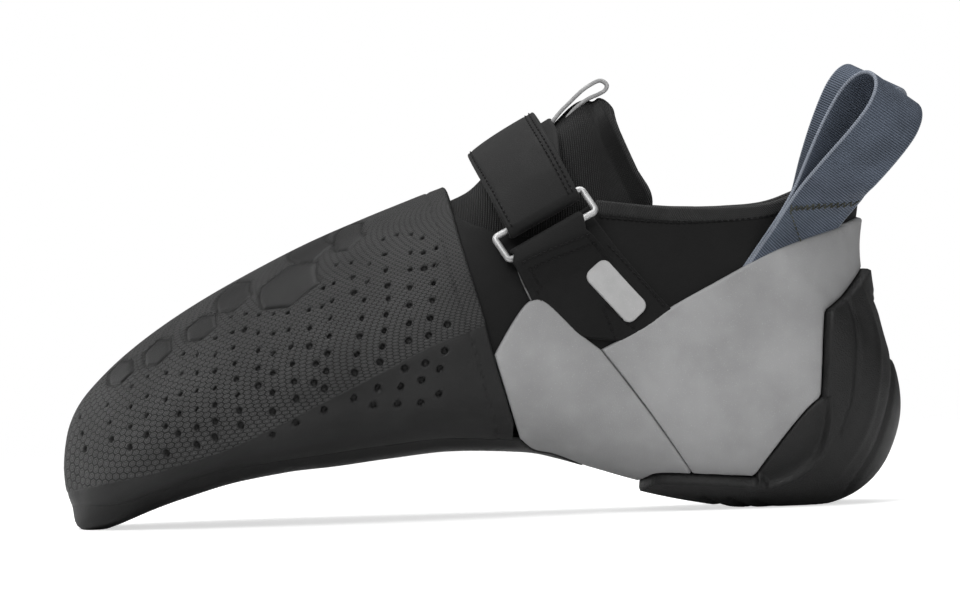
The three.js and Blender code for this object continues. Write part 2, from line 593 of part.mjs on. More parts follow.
// One leg of a pull loop, from its root on the upper to the top of the fold. leg is 1 for the leg
// away from the foot and -1 for the one against it.
function pullLoopLeg(side, root, lean, leg) {
  const { station, round } = placeAt(...root, side);
  const base = skinPoint(station, round, 0);
  const rootOut = skinPoint(station, round, 1).sub(base).normalize();
  const angle = THREE.MathUtils.degToRad(lean);
  const axis = new THREE.Vector3(Math.sin(angle), 0, Math.cos(angle));
  const rootWidth = rootOut.clone().cross(axis).normalize();
  if (rootWidth.x < 0) rootWidth.negate();
  const turn = THREE.MathUtils.degToRad(LOOP_ROOT_TURN);
  rootWidth.multiplyScalar(Math.cos(turn)).addScaledVector(rootOut, -Math.sin(turn));
  const topWidth = LOOP_WIDTH_DIRECTION.clone().multiply(new THREE.Vector3(1, -side, 1));
  topWidth.addScaledVector(axis, -topWidth.dot(axis)).normalize();
  const middle = GAP + WEBBING_THICKNESS;
  const half = WEBBING_THICKNESS / 2;
  const rings = LOOP_FOLD.map(({ along, out }, i) => {
    const width = rootWidth.clone().lerp(topWidth, smooth(along / 0.6)).normalize();
    const outward = width.clone().cross(axis).normalize();
    if (outward.y * side < 0) outward.negate();
    const previous = LOOP_FOLD[Math.max(i - 1, 0)];
    const next = LOOP_FOLD[Math.min(i + 1, LOOP_FOLD.length - 1)];
    const rise = (next.along - previous.along) * PULL_LOOP_LENGTH;
    const spread = (next.out - previous.out) * (PULL_LOOP_OPENING / 2) * leg;
    const atTop = i === LOOP_FOLD.length - 1;
    const tangent = atTop
      ? outward.clone().multiplyScalar(-leg)
      : axis.clone().multiplyScalar(rise).addScaledVector(outward, spread).normalize();
    const normal = tangent.clone().cross(width).normalize();
    const offset = (half - 0.05 + (out * PULL_LOOP_OPENING) / 2) * leg * (atTop ? 0 : 1);
    const centre = base.clone().addScaledVector(rootOut, middle)
      .addScaledVector(axis, along * PULL_LOOP_LENGTH)
      .addScaledVector(outward, offset - (atTop ? 0.1 * leg : 0));
    return [[-1, -1], [1, -1], [1, 1], [-1, 1]].map(([across, through]) => centre.clone()
      .addScaledVector(width, (across * WEBBING_WIDTH) / 2)
      .addScaledVector(normal, through * half));
  });
  return loft(rings);
}

function pullLoop(side, root, lean) {
  return pullLoopLeg(side, root, lean, 1).add(pullLoopLeg(side, root, lean, -1))
    .subtract(touching).subtract(rearRandRegion(GAP / 2));
}

// A strip that rises from the tongue's ridge and turns back on itself
function tongueLoop() {
  const path = curve(TAB_PATH);
  const rings = path.map((p, i) => {
    const before = path[Math.max(i - 1, 0)];
    const after = path[Math.min(i + 1, path.length - 1)];
    const along = after.clone().sub(before).normalize();
    const across = new THREE.Vector3(-along.y, 0, along.x).multiplyScalar(TAB_THICKNESS / 2);
    const centre = new THREE.Vector3(p.x, 0, p.y);
    return [[-1, -1], [1, -1], [1, 1], [-1, 1]].map(([side, through]) => centre.clone()
      .add(new THREE.Vector3(0, (side * TAB_WIDTH) / 2, 0))
      .addScaledVector(across, through));
  });
  return loft(rings);
}

const finishes = {
  rubber: { color: 0x2a2b2d, roughness: 0.72, metalness: 0 },
  soleRubber: { color: 0x1b1b1d, roughness: 0.6, metalness: 0 },
  greyRubber: { color: 0x9a9a9c, roughness: 0.6, metalness: 0 },
  paleTrim: { color: 0xc4c4c6, roughness: 0.7, metalness: 0 },
  blackFabric: { color: 0x141416, roughness: 0.9, metalness: 0 },
  webbing: { color: 0x5d6880, roughness: 0.85, metalness: 0 },
  metal: { color: 0xc9cacc, roughness: 0.35, metalness: 0.9 },
};

function piece(name, finish, solid) {
  const { numProp, vertProperties, triVerts } = solid.getMesh();
  const points = [];
  for (let i = 0; i < vertProperties.length; i += numProp) {
    points.push(vertProperties[i], vertProperties[i + 1], vertProperties[i + 2]);
  }
  const geometry = new THREE.BufferGeometry();
  geometry.setAttribute('position', new THREE.Float32BufferAttribute(points, 3));
  geometry.setIndex([...triVerts]);
  geometry.computeVertexNormals();
  const mesh = new THREE.Mesh(geometry, new THREE.MeshStandardMaterial(finishes[finish]));
  mesh.name = name;
  return mesh;
}

const shoe = new THREE.Group();
shoe.add(
  piece('upper', 'blackFabric', upper()),
  piece('toe_patch', 'rubber', toePatch()),
  piece('outsole', 'soleRubber', outsole()),
  piece('front_rand_outer', 'greyRubber', frontRand(outerSide)),
  piece('front_rand_inner', 'greyRubber', frontRand(innerSide)),
  piece('rear_rand', 'greyRubber', rearRand()),
  piece('heel_cup', 'soleRubber', heelCup()),
  piece('insole', 'blackFabric', insole()),
  piece('tongue', 'blackFabric', tongue()),
  piece('tongue_loop', 'paleTrim', tongueLoop()),
  piece('strap', 'blackFabric', strap()),
  piece('ring', 'metal', ring()),
  piece('anchor', 'blackFabric', anchor()),
  piece('badge', 'paleTrim', badge()),
  piece('pull_loop_outer', 'webbing', pullLoop(-1, LOOP_ROOT.outer, LOOP_LEAN.outer)),
  piece('pull_loop_inner', 'webbing', pullLoop(1, LOOP_ROOT.inner, LOOP_LEAN.inner)),
);

export default shoe;
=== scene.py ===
# %% [markdown]
# A climbing shoe for the left foot. Rubber wraps most of it: a textured patch over the toes, a pale
# rand over arch and heel, a moulded cup at the heel. Between them show a black microfibre upper,
# a padded tongue and a strap that folds back through a metal ring. Each layer is a thin shell that
# follows the same foot form, the last, so the whole script grows out of one function for it.

# %% The fixed frame
import math

import bmesh
import bpy
import numpy as np
from mathutils import Matrix, Vector


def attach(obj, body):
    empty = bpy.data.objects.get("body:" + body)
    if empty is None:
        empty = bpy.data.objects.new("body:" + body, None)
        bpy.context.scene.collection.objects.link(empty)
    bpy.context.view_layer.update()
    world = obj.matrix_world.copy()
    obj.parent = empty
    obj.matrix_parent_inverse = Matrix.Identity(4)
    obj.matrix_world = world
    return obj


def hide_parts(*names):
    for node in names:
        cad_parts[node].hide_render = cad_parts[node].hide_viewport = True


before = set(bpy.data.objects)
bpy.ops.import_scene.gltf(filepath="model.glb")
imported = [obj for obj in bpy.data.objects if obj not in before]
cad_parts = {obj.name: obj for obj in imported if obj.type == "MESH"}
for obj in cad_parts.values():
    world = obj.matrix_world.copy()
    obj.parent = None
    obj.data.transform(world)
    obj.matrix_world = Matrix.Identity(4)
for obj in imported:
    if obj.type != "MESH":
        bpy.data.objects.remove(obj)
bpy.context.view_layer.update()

MM = 0.001

# %% [markdown]
# ## The camera
# A product photograph of a shoe is taken side on with a long lens, so that near and far parts keep
# their sizes. The photograph's frame is 960 by 589 pixels, and one pixel is 0.3 mm of this shoe.
# The shoe in it is turned by about two degrees. The model stands flat, so the camera rolls instead.

# %% Camera
IMAGE_WIDTH, IMAGE_HEIGHT = 960, 589
PIXEL = 0.30
HEEL_PIXEL = (805, 504)  # where the heel's resting point shows in the photograph
ROLL = math.radians(2.148)
ELEVATION = math.radians(1.0)
DISTANCE = 2200


def shoe_place(px, py):
    """X and Z in mm of a pixel of the photograph, on the shoe's middle plane."""
    across, up = px - HEEL_PIXEL[0], HEEL_PIXEL[1] - py
    return (PIXEL * (across * math.cos(ROLL) + up * math.sin(ROLL)),
            PIXEL * (up * math.cos(ROLL) - across * math.sin(ROLL)))


def make_camera():
    x, z = shoe_place(IMAGE_WIDTH / 2, IMAGE_HEIGHT / 2)
    back = Vector((0, -math.cos(ELEVATION), math.sin(ELEVATION)))
    level = Vector((1, 0, 0))
    upright = back.cross(level)
    right = level * math.cos(ROLL) - upright * math.sin(ROLL)
    up = level * math.sin(ROLL) + upright * math.cos(ROLL)
    camera = bpy.data.objects.new("camera", bpy.data.cameras.new("camera"))
    camera.matrix_world = Matrix.Translation((Vector((x, 0, z)) + back * DISTANCE) * MM) @ Matrix(
        (right, up, back)).transposed().to_4x4()
    camera.data.lens = camera.data.sensor_width * DISTANCE / (IMAGE_WIDTH * PIXEL)
    camera.data.clip_start, camera.data.clip_end = 0.1, 50
    bpy.context.scene.collection.objects.link(camera)
    bpy.context.scene.camera = camera
    return camera


camera = make_camera()
print("lens", round(camera.data.lens), "mm")

# %% [markdown]
# ## The last
# A shoemaker pulls every layer over a wooden or plastic foot form, the last. Here the last is a
# table with one row for each girth section, from the toe tip along the sole and up the back of the
# heel. A place on it has two numbers: its station, the row, and its round, which runs from 0 under
# the sole to 1 on the ridge over the inner side and to -1 over the outer side.
# A subdivision surface could be sculpted instead, but then no panel would know where its
# neighbour ends. With a formula, every panel is an exact offset of the same form.

# %% Driving sizes and the last's table
LENGTH = 252
HEEL_OVERHANG = 29.5
INSTEP_HEIGHT = 98
BALL_WIDTH = 92
HEEL_WIDTH = 66
GAP = 0.3
UPPER_WALL = 2.2
PATCH_THICKNESS = 1.9
RAND_THICKNESS = 1.5
SOLE_THICKNESS = 4.2
ARCH_THICKNESS = 2
CUP_THICKNESS = 4.4
CUP_RECESS_THICKNESS = 1.9
INSOLE_THICKNESS = 2.5
TONGUE_THICKNESS = 4.5
HALF_BALL = BALL_WIDTH / 2 - PATCH_THICKNESS - GAP
HALF_HEEL = HEEL_WIDTH / 2 - CUP_THICKNESS - GAP

# Each row: the lowest point's and the ridge's place along and up, the two points' places across as
# shares of the ball's width, the outer and inner half width as shares of the half width at the
# ball or, where heel is 1, at the heel, how high the widest place lies, and how square the
# section is under it and over it.
LAST = np.array([
    (0.008, 0.189, 0.008, 0.189, 0.166, 0.166, 0, 0, 0, 0.5, 2, 2),
    (0.01, 0.128, 0.011, 0.255, 0.165, 0.17, 0.15, 0.16, 0, 0.45, 2.2, 2),
    (0.016, 0.076, 0.017, 0.316, 0.16, 0.168, 0.235, 0.225, 0, 0.42, 2.4, 2),
    (0.025, 0.041, 0.03, 0.378, 0.155, 0.168, 0.325, 0.295, 0, 0.4, 2.7, 2),
    (0.039, 0.04, 0.052, 0.441, 0.145, 0.168, 0.452, 0.384, 0, 0.37, 2.9, 2),
    (0.065, 0.062, 0.083, 0.512, 0.128, 0.168, 0.598, 0.489, 0, 0.35, 2.9, 2),
    (0.101, 0.098, 0.125, 0.59, 0.105, 0.164, 0.733, 0.594, 0, 0.34, 2.8, 2),
    (0.145, 0.135, 0.175, 0.668, 0.08, 0.156, 0.85, 0.68, 0, 0.34, 2.7, 2),
    (0.2, 0.174, 0.236, 0.75, 0.055, 0.145, 0.95, 0.742, 0, 0.35, 2.6, 2),
    (0.264, 0.2, 0.304, 0.832, 0.03, 0.13, 1.02, 0.785, 0, 0.36, 2.5, 2),
    (0.327, 0.216, 0.371, 0.9, 0.01, 0.11, 1.045, 0.806, 0, 0.37, 2.4, 2),
    (0.391, 0.234, 0.433, 0.958, -0.006, 0.088, 1.03, 0.8, 0, 0.38, 2.4, 2),
    (0.454, 0.246, 0.486, 1.008, -0.018, 0.066, 1.06, 0.84, 0.2, 0.38, 2.3, 2),
    (0.514, 0.231, 0.534, 1.087, -0.024, 0.047, 1.075, 0.87, 0.4, 0.37, 2.3, 2),
    (0.573, 0.204, 0.577, 1.151, -0.026, 0.03, 1.084, 0.913, 0.6, 0.36, 2.3, 2),
    (0.629, 0.159, 0.613, 1.204, -0.022, 0.018, 1.1, 0.96, 0.8, 0.34, 2.3, 2),
    (0.685, 0.112, 0.641, 1.245, -0.017, 0.01, 1.12, 1.02, 1, 0.32, 2.3, 2),
    (0.74, 0.076, 0.648, 1.257, -0.011, 0.006, 1.08, 1.02, 1, 0.3, 2.3, 2.05),
    (0.796, 0.05, 0.653, 1.268, -0.006, 0.003, 1.04, 1.01, 1, 0.28, 2.3, 2.1),
    (0.847, 0.04, 0.658, 1.28, -0.002, 0, 1.01, 1.0, 1, 0.28, 2.3, 2.15),
    (0.895, 0.042, 0.662, 1.29, 0, 0, 1.0, 1.0, 1, 0.3, 2.2, 2.2),
    (0.931, 0.069, 0.666, 1.3, 0, 0, 1.0, 1.0, 1, 0.32, 2.1, 2.2),
    (0.957, 0.122, 0.67, 1.31, 0, 0, 1.0, 1.0, 1, 0.34, 2.05, 2.2),
    (0.973, 0.194, 0.674, 1.32, 0, 0, 0.99, 0.99, 1, 0.36, 2, 2.2),
    (0.982, 0.281, 0.678, 1.33, 0, 0, 0.98, 0.98, 1, 0.38, 2, 2.2),
    (0.98, 0.372, 0.682, 1.34, 0, 0, 0.97, 0.97, 1, 0.4, 2, 2.2),
    (0.969, 0.469, 0.686, 1.35, 0, 0, 0.955, 0.955, 1, 0.42, 2, 2.15),
    (0.96, 0.571, 0.69, 1.36, 0, 0, 0.935, 0.935, 1, 0.44, 2, 2.1),
    (0.954, 0.679, 0.694, 1.37, 0, 0, 0.915, 0.915, 1, 0.46, 2, 2.05),
    (0.952, 0.786, 0.698, 1.38, 0, 0, 0.9, 0.9, 1, 0.47, 2, 2),
    (0.958, 0.898, 0.702, 1.39, 0, 0, 0.89, 0.89, 1, 0.48, 2, 2),
    (0.966, 1.02, 0.706, 1.4, 0, 0, 0.89, 0.89, 1, 0.48, 2, 2),
])
LAST_END = len(LAST) - 1


def mix(a, b, t):
    return a + (b - a) * t


def smooth(t):
    t = np.clip(t, 0, 1)
    return t * t * (3 - 2 * t)


def side_x(share):
    return HEEL_OVERHANG - LENGTH + share * LENGTH


def side_z(share):
    return share * INSTEP_HEIGHT


# %% [markdown]
# A Catmull-Rom curve runs smoothly through the rows of the table, and through the points of every
# outline below. A section is a superellipse, which is squarer under the foot than over it.

# %% Points of the last
def catmull_rom(t, before, start, end, after):
    v0, v1 = (end - before) / 2, (after - start) / 2
    a = 2 * start - 2 * end + v0 + v1
    b = -3 * start + 3 * end - 2 * v0 - v1
    return ((a * t + b) * t + v0) * t + start


def last_point(station, around):
    """Points of the last in mm, for arrays of stations and rounds."""
    station, around = np.broadcast_arrays(np.asarray(station, float), np.asarray(around, float))
    row = np.clip(np.floor(station).astype(int), 0, LAST_END - 1)
    rows = [LAST[np.clip(row + k, 0, LAST_END)] for k in (-1, 0, 1, 2)]
    values = catmull_rom((station - row)[..., None], *rows)
    (bottom_l, bottom_h, top_l, top_h, bottom_y, top_y,
     outer, inner, heel, belly, square, crown) = np.moveaxis(values, -1, 0)
    turn = np.pi * np.minimum(np.abs(around), 2 - np.abs(around))
    side = np.sign(around) * np.where(np.abs(around) > 1, -1, 1)
    cosine = np.cos(turn)
    power = 2 / np.where(cosine > 0, square, crown)
    reach = np.abs(cosine) ** power
    up = np.where(cosine > 0, belly * (1 - reach), belly + (1 - belly) * reach)
    width = mix(HALF_BALL, HALF_HEEL, heel) * np.where(side < 0, outer, inner)
    middle = mix(bottom_y, top_y, smooth(up)) * BALL_WIDTH
    return np.stack([
        side_x(mix(bottom_l, top_l, up)),
        middle + side * width * np.abs(np.sin(turn)) ** power,
        side_z(mix(bottom_h, top_h, up)),
    ], -1)


def skin_normal(station, around):
    """Outward directions of the last. The tip itself faces forwards."""
    step = 0.01
    station, around = np.broadcast_arrays(np.asarray(station, float), np.asarray(around, float))
    base = np.maximum(station, 0.05 + step)
    after = np.minimum(base + step, LAST_END)
    along = last_point(after, around) - last_point(base - step, around)
    over = last_point(base, around + step) - last_point(base, around - step)
    normal = -np.cross(along, over)
    normal /= np.linalg.norm(normal, axis=-1, keepdims=True)
    forward = smooth(1 - station / 0.5)[..., None]
    normal = normal * (1 - forward) + np.array([-1, 0, 0]) * forward
    return normal / np.linalg.norm(normal, axis=-1, keepdims=True)


def skin_point(station, around, distance):
    """Points at a distance outside the last, or inside it where the distance is negative."""
    return last_point(station, around) + skin_normal(station, around) * np.asarray(distance)[..., None]


girth = last_point(10.0, np.linspace(-1, 1, 200))
print("girth at the ball", round(np.linalg.norm(np.diff(girth, axis=0), axis=1).sum()), "mm")

# %% [markdown]
# ## Outlines
# A pattern cutter draws each panel flat. These outlines are drawn in the side view, as shares of
# the shoe's length and instep height, and each stretch is a smooth curve through its points.

# %% Outlines of the panels
PATCH_REAR = [(0.462, 1.06), (0.473, 0.98), (0.489, 0.816), (0.508, 0.627), (0.519, 0.501),
              (0.531, 0.389), (0.546, 0.256)]
SOLE_EDGE = [(-0.02, 0.072), (0.011, 0.081), (0.08, 0.108), (0.189, 0.193), (0.297, 0.231),
             (0.404, 0.261), (0.464, 0.27), (0.523, 0.262), (0.546, 0.256)]
FRONT_RAND_TOP = [(0.519, 0.501), (0.536, 0.573), (0.553, 0.635), (0.565, 0.661), (0.58, 0.657),
                  (0.6, 0.609), (0.617, 0.562), (0.644, 0.504)]
RAND_JOINT = [(0.644, 0.504), (0.697, 0.321), (0.749, 0.126)]
FRONT_RAND_LOW = [(0.546, 0.256), (0.563, 0.221), (0.586, 0.206), (0.605, 0.186), (0.636, 0.149),
                  (0.668, 0.119), (0.682, 0.099)]
CUP_FRONT = [(0.682, 0.099), (0.698, 0.122), (0.712, 0.132), (0.749, 0.126)]
CUP_TOP = [(0.749, 0.126), (0.821, 0.11)]
REAR_RAND_TOP = [(0.644, 0.504), (0.696, 0.569), (0.728, 0.622), (0.782, 0.693), (0.854, 0.784),
                 (0.929, 0.847), (0.959, 0.875)]
CUP_EDGE = [(0.821, 0.11), (0.845, 0.187), (0.881, 0.294), (0.901, 0.338)]
CUP_SIDE = [(0.901, 0.338), (0.905, 0.479), (0.908, 0.592)]
CUP_SHOULDER = [(0.908, 0.592), (0.927, 0.63), (0.947, 0.692), (0.956, 0.728)]
CUP_RIDGE = [(0.906, 0.338), (0.903, 0.258), (0.893, 0.18), (0.867, 0.124), (0.837, 0.102)]
THROAT = [(0.452, 1.1), (0.468, 0.99), (0.482, 0.925), (0.521, 0.88), (0.556, 0.858),
          (0.592, 0.872), (0.643, 0.952)]
COLLAR = [(0.643, 0.952), (0.712, 0.929), (0.759, 0.919), (0.807, 0.917), (0.855, 0.928),
          (0.909, 0.972), (0.966, 0.985), (1.02, 0.985)]
TONGUE_EDGE = [(0.652, 1.34), (0.656, 1.285), (0.66, 1.258), (0.676, 1.165), (0.694, 1.06),
               (0.712, 0.96), (0.704, 0.83)]
TONGUE_FOOT = [(0.704, 0.83), (0.6, 0.74), (0.5, 0.8), (0.44, 0.93), (0.436, 1.1)]
INSOLE_EDGE = [(-0.02, 0.16), (0.08, 0.19), (0.189, 0.275), (0.32, 0.32), (0.464, 0.34),
               (0.573, 0.31), (0.685, 0.21), (0.8, 0.15), (0.93, 0.16), (1.05, 0.2)]
ANCHOR_FRONT = [(0.549, 0.79), (0.556, 0.718), (0.575, 0.56)]
ANCHOR_BACK = [(0.638, 0.915), (0.676, 0.78), (0.728, 0.622), (0.79, 0.48)]


def curve(stretch, steps=8):
    """A smooth curve through the points of one stretch, in mm of the side view."""
    points = np.array([(side_x(l), side_z(h)) for l, h in stretch])
    count = len(points)
    if count < 3:
        return points
    at = np.linspace(0, count - 1, (count - 1) * steps + 1)
    start = np.minimum(at.astype(int), count - 2)
    ends = [points[np.clip(start + k, 0, count - 1)] for k in (-1, 0, 1, 2)]
    return catmull_rom((at - start)[:, None], *ends)


def outline(*stretches):
    """Stretches and single corners joined to one closed line."""
    line = np.concatenate([curve(s if isinstance(s, list) else [s]) for s in stretches])
    far = np.linalg.norm(line - np.roll(line, 1, 0), axis=1) > 1e-3
    return line[far]


def back(stretch):
    return stretch[::-1]


front_rand_outline = outline(FRONT_RAND_TOP, RAND_JOINT, back(CUP_FRONT), back(FRONT_RAND_LOW),
                             back(PATCH_REAR)[:3])
rear_rand_outline = outline(REAR_RAND_TOP, (1.04, 0.88), (1.04, 0.728), back(CUP_SHOULDER),
                            back(CUP_SIDE), back(CUP_EDGE), back(CUP_TOP), back(RAND_JOINT))
cup_outline = outline(CUP_FRONT, CUP_TOP, CUP_EDGE, CUP_SIDE, CUP_SHOULDER, (1.04, 0.728),
                      (1.04, -0.1), (0.69, -0.1))
print("the heel cup's outline has", len(cup_outline), "points")

# %% [markdown]
# ## How a panel is cut
# A cutter's blade follows the outline, and the cut edge of rubber or leather is a little rounded.
# The panel starts as a fine grid of triangles over the last. Each triangle that the outline
# crosses is split exactly on it, and again on two lines just inside it, where the surface rises
# from the edge to full thickness. A Boolean modifier could cut too, but leaves long thin faces.

# %% Distance to an outline
def edge_distance(points, line):
    """Distance in the side view to a closed line, positive inside, and its direction."""
    best = np.full(len(points), np.inf)
    direction = np.zeros_like(points)
    inside = np.zeros(len(points), bool)
    for start, end in zip(line, np.roll(line, -1, 0)):
        run = end - start
        rel = points - start
        t = np.clip(rel @ run / (run @ run), 0, 1)
        gap = rel - t[:, None] * run
        distance = np.hypot(gap[:, 0], gap[:, 1])
        closer = distance < best
        best[closer] = distance[closer]
        direction[closer] = gap[closer]
        if abs(run[1]) > 1e-9:
            crosses = (start[1] > points[:, 1]) != (end[1] > points[:, 1])
            inside ^= crosses & (rel[:, 0] < rel[:, 1] / run[1] * run[0])
    direction /= np.maximum(best, 1e-9)[:, None]
    return np.where(inside, best, -best), direction


LEAST_SLOPE = 0.12  # keeps the distance finite where the surface turns away from the side view


def surface_distance(line, side=0):
    """A function that measures along the surface how far a place lies inside a line.

    side keeps only the outer side of the foot at -1, or only the inner side at 1.
    """
    def measure(params):
        station, around = params.T
        point = last_point(station, around)
        normal = skin_normal(station, around)
        distance, direction = edge_distance(point[:, [0, 2]], line)
        slope = (direction * normal[:, [0, 2]]).sum(1)
        distance = distance / np.sqrt(np.maximum(1 - slope ** 2, LEAST_SLOPE))
        if side:
            distance = np.minimum(distance, side * point[:, 1] - GAP / 2)
        return distance
    return measure


# %% Splitting triangles along a level line
SNAP = 0.035


def split_at(params, triangles, values, level):
    """Cut the triangles where values cross a level, and return the three lists again.

    A point closer to the level than SNAP counts as on it, so that no sliver is left.
    """
    values = np.where(np.abs(values - level) < SNAP, float(level), values)
    side = np.sign(values - level)
    pairs = np.concatenate([triangles[:, [0, 1]], triangles[:, [1, 2]], triangles[:, [2, 0]]])
    edges, inverse = np.unique(np.sort(pairs, axis=1), axis=0, return_inverse=True)
    a, b = edges.T
    crossed = side[a] * side[b] < 0
    a, b = a[crossed], b[crossed]
    share = ((level - values[a]) / (values[b] - values[a]))[:, None]
    middle = np.full(len(edges), -1)
    middle[crossed] = len(params) + np.arange(crossed.sum())
    params = np.concatenate([params, params[a] + share * (params[b] - params[a])])
    values = np.concatenate([values, np.full(len(a), float(level))])
    cut = middle[inverse.ravel()].reshape(3, -1).T
    count = (cut >= 0).sum(1)
    made = [triangles[count == 0]]
    for k in range(3):
        chosen = (cut[:, k] >= 0) & (count == 1)
        p = cut[chosen, k]
        first, second, third = (triangles[chosen, (k + j) % 3] for j in range(3))
        made += [np.stack(corners, 1) for corners in ((first, p, third), (p, second, third))]
        chosen = (cut[:, k] >= 0) & (cut[:, (k + 2) % 3] >= 0)
        p, q = cut[chosen, k], cut[chosen, (k + 2) % 3]
        tip, right, left = (triangles[chosen, (k + j) % 3] for j in range(3))
        made += [np.stack(corners, 1) for corners in ((tip, p, q), (p, right, left), (p, left, q))]
    return params, np.concatenate(made), values


# %% Even steps along the last
def even_steps(start, stop, place, step):
    """Values from start to stop whose places on the last lie a step apart."""
    fine = np.linspace(start, stop, 600)
    run = np.linalg.norm(np.diff(place(fine), axis=0), axis=1)
    run = np.concatenate([[0], np.cumsum(run)])
    count = max(3, int(round(run[-1] / step)) + 1)
    return np.interp(np.linspace(0, run[-1], count), run, fine)


def skin_grid(stations, rounds, step):
    """Stations and rounds for a grid of about square cells over a stretch of the last."""
    middle = (stations[0] + stations[1]) / 2
    side = -0.5 if min(rounds) < 0 else 0.5
    along = even_steps(*stations, lambda s: last_point(s, side), step)
    over = even_steps(*rounds, lambda r: last_point(middle, r), step)
    return along, over


def on_grid(table, along, over, params):
    """Values of a table over the grid, read between its nodes."""
    i = np.clip(np.searchsorted(along, params[:, 0]) - 1, 0, len(along) - 2)
    j = np.clip(np.searchsorted(over, params[:, 1]) - 1, 0, len(over) - 2)
    s = ((params[:, 0] - along[i]) / (along[i + 1] - along[i]))[:, None]
    r = ((params[:, 1] - over[j]) / (over[j + 1] - over[j]))[:, None]
    return mix(mix(table[i, j], table[i + 1, j], s), mix(table[i, j + 1], table[i + 1, j + 1], s), r)


def grid_lengths(along, over):
    """A table of length along the foot and round it from the ridge, in mm, to lay cloth on."""
    point = last_point(along[:, None], over[None])
    run = np.linalg.norm(np.diff(point, axis=0), axis=2).mean(1)
    length = np.concatenate([[0], np.cumsum(run)])
    turn = np.linalg.norm(np.diff(point, axis=1), axis=2)
    turn = np.concatenate([np.zeros((len(along), 1)), np.cumsum(turn, 1)], 1)
    return np.stack([np.broadcast_to(length[:, None], turn.shape), turn], -1)


# %% From points and faces to a piece
def finished_piece(name, mesh, doubles, slivers=0.0):
    """Merge doubles, turn every face out, and return the mesh as an object of the scene."""
    shape = bmesh.new()
    shape.from_mesh(mesh)
    bmesh.ops.remove_doubles(shape, verts=shape.verts, dist=doubles)
    if slivers:
        bmesh.ops.dissolve_degenerate(shape, edges=shape.edges, dist=slivers)
    bmesh.ops.recalc_face_normals(shape, faces=shape.faces)
    open_edges = sum(not edge.is_manifold for edge in shape.edges)
    shape.to_mesh(mesh)
    shape.free()
    mesh.shade_smooth()
    piece = bpy.data.objects.new(name, mesh)
    bpy.context.scene.collection.objects.link(piece)
    mesh.calc_loop_triangles()
    print(name, len(mesh.loop_triangles), "triangles,", open_edges, "open edges")
    return piece


def build_mesh(name, points, faces, uv=None, masks=()):
    """A closed piece from points in mm, with its UV and the masks for its material."""
    mesh = bpy.data.meshes.new(name)
    mesh.from_pydata((points * MM).tolist(), [], faces)
    if uv is not None:
        layer = mesh.uv_layers.new(name="UVMap")
        corners = np.zeros(len(mesh.loops), int)
        mesh.loops.foreach_get("vertex_index", corners)
        layer.data.foreach_set("uv", uv[corners].ravel())
    for mask, values in masks:
        mesh.attributes.new(mask, "FLOAT", "POINT").data.foreach_set("value", values)
    return finished_piece(name, mesh, doubles=2e-6, slivers=1e-7)


def edge_profile(values, edge):
    """Height of a rounded edge, from 0 at the cut to 1 at the full thickness."""
    t = np.clip(values / edge, 0, 1)
    return np.sqrt(1 - (1 - t) ** 2)


EDGE_LEVELS = (0, 0.15, 0.4, 1)


def cut_panel(region, low, high, stations, rounds, step,
              edge=0.8, soft_back=False, levels=(), masks=(), lay=None):
    """A shell over the last, from the distance low to high, inside a region.

    stations and rounds say which stretch of the last is searched, step how wide a cell is in mm,
    and edge how wide the rounded edge is. region, high, levels and masks are functions of places on
    the last. levels lists more fields and the values along which the mesh is split, masks what is
    kept on it for its material.
    """
    along, over = skin_grid(stations, rounds, step)
    params = np.stack(np.meshgrid(along, over, indexing="ij"), -1).reshape(-1, 2)
    corner = (np.arange(len(along) - 1)[:, None] * len(over) + np.arange(len(over) - 1)).ravel()
    ahead, beside = corner + len(over), corner + 1
    triangles = np.concatenate([np.stack([corner, ahead, beside], 1),
                                np.stack([beside, ahead, ahead + 1], 1)])
    near = region(params)
    triangles = triangles[near[triangles].max(1) > 0]
    for field, field_levels in levels:
        for level in field_levels:
            params, triangles, _ = split_at(params, triangles, field(params), level)
    values = region(params)
    for level in EDGE_LEVELS:
        params, triangles, values = split_at(params, triangles, values, level * edge)
    triangles = triangles[values[triangles].min(1) >= 0]
    used, index = np.unique(triangles, return_inverse=True)
    triangles = index.reshape(-1, 3)
    params, values = params[used], values[used]
    rise = edge_profile(values, edge)
    top = high(params) if callable(high) else np.full(len(params), float(high))
    if soft_back:
        middle, half = (top + low) / 2, (top - low) / 2
        outer, inner = middle + half * rise, middle - half * rise
    else:
        outer, inner = mix(low, top, rise), np.full(len(params), float(low))
    outer_points = skin_point(*params.T, outer)
    inner_points = skin_point(*params.T, inner)
    partner = np.arange(len(params)) + len(params)
    on_edge = values <= 0
    partner[on_edge] = np.arange(len(params))[on_edge]
    points = np.concatenate([outer_points, inner_points])
    faces = np.concatenate([triangles, partner[triangles][:, ::-1]])
    uv = lay(params) if lay else on_grid(grid_lengths(along, over), along, over, params)
    kept = [(mask, np.tile(field(params), 2)) for mask, field in masks]
    return points, faces.tolist(), np.concatenate([uv, uv]), kept


def panel(name, *args, **options):
    return build_mesh(name, *cut_panel(*args, **options))


WHOLE = (-1, 1)
OUTER, INNER = (-1, 0.1), (-0.1, 1)  # a little past the middle of the sole

# %% [markdown]
# ## Materials
# Small helpers build the node trees. Effects that several finishes share are node groups: a fine
# grain for moulded rubber and napped cloth, and woven ribs for webbing and knit. Each material
# uses them with its own values.

# %% Node helpers
def add_node(tree, kind, inputs=None, **settings):
    """Add a node, set its options, and link or set its inputs."""
    made = tree.nodes.new(kind)
    for key, value in settings.items():
        setattr(made, key, value)
    for key, value in (inputs or {}).items():
        if isinstance(value, bpy.types.NodeSocket):
            tree.links.new(value, made.inputs[key])
        else:
            made.inputs[key].default_value = value
    return made


def calculate(tree, operation, *values):
    return add_node(tree, "ShaderNodeMath", dict(enumerate(values)), operation=operation).outputs[0]


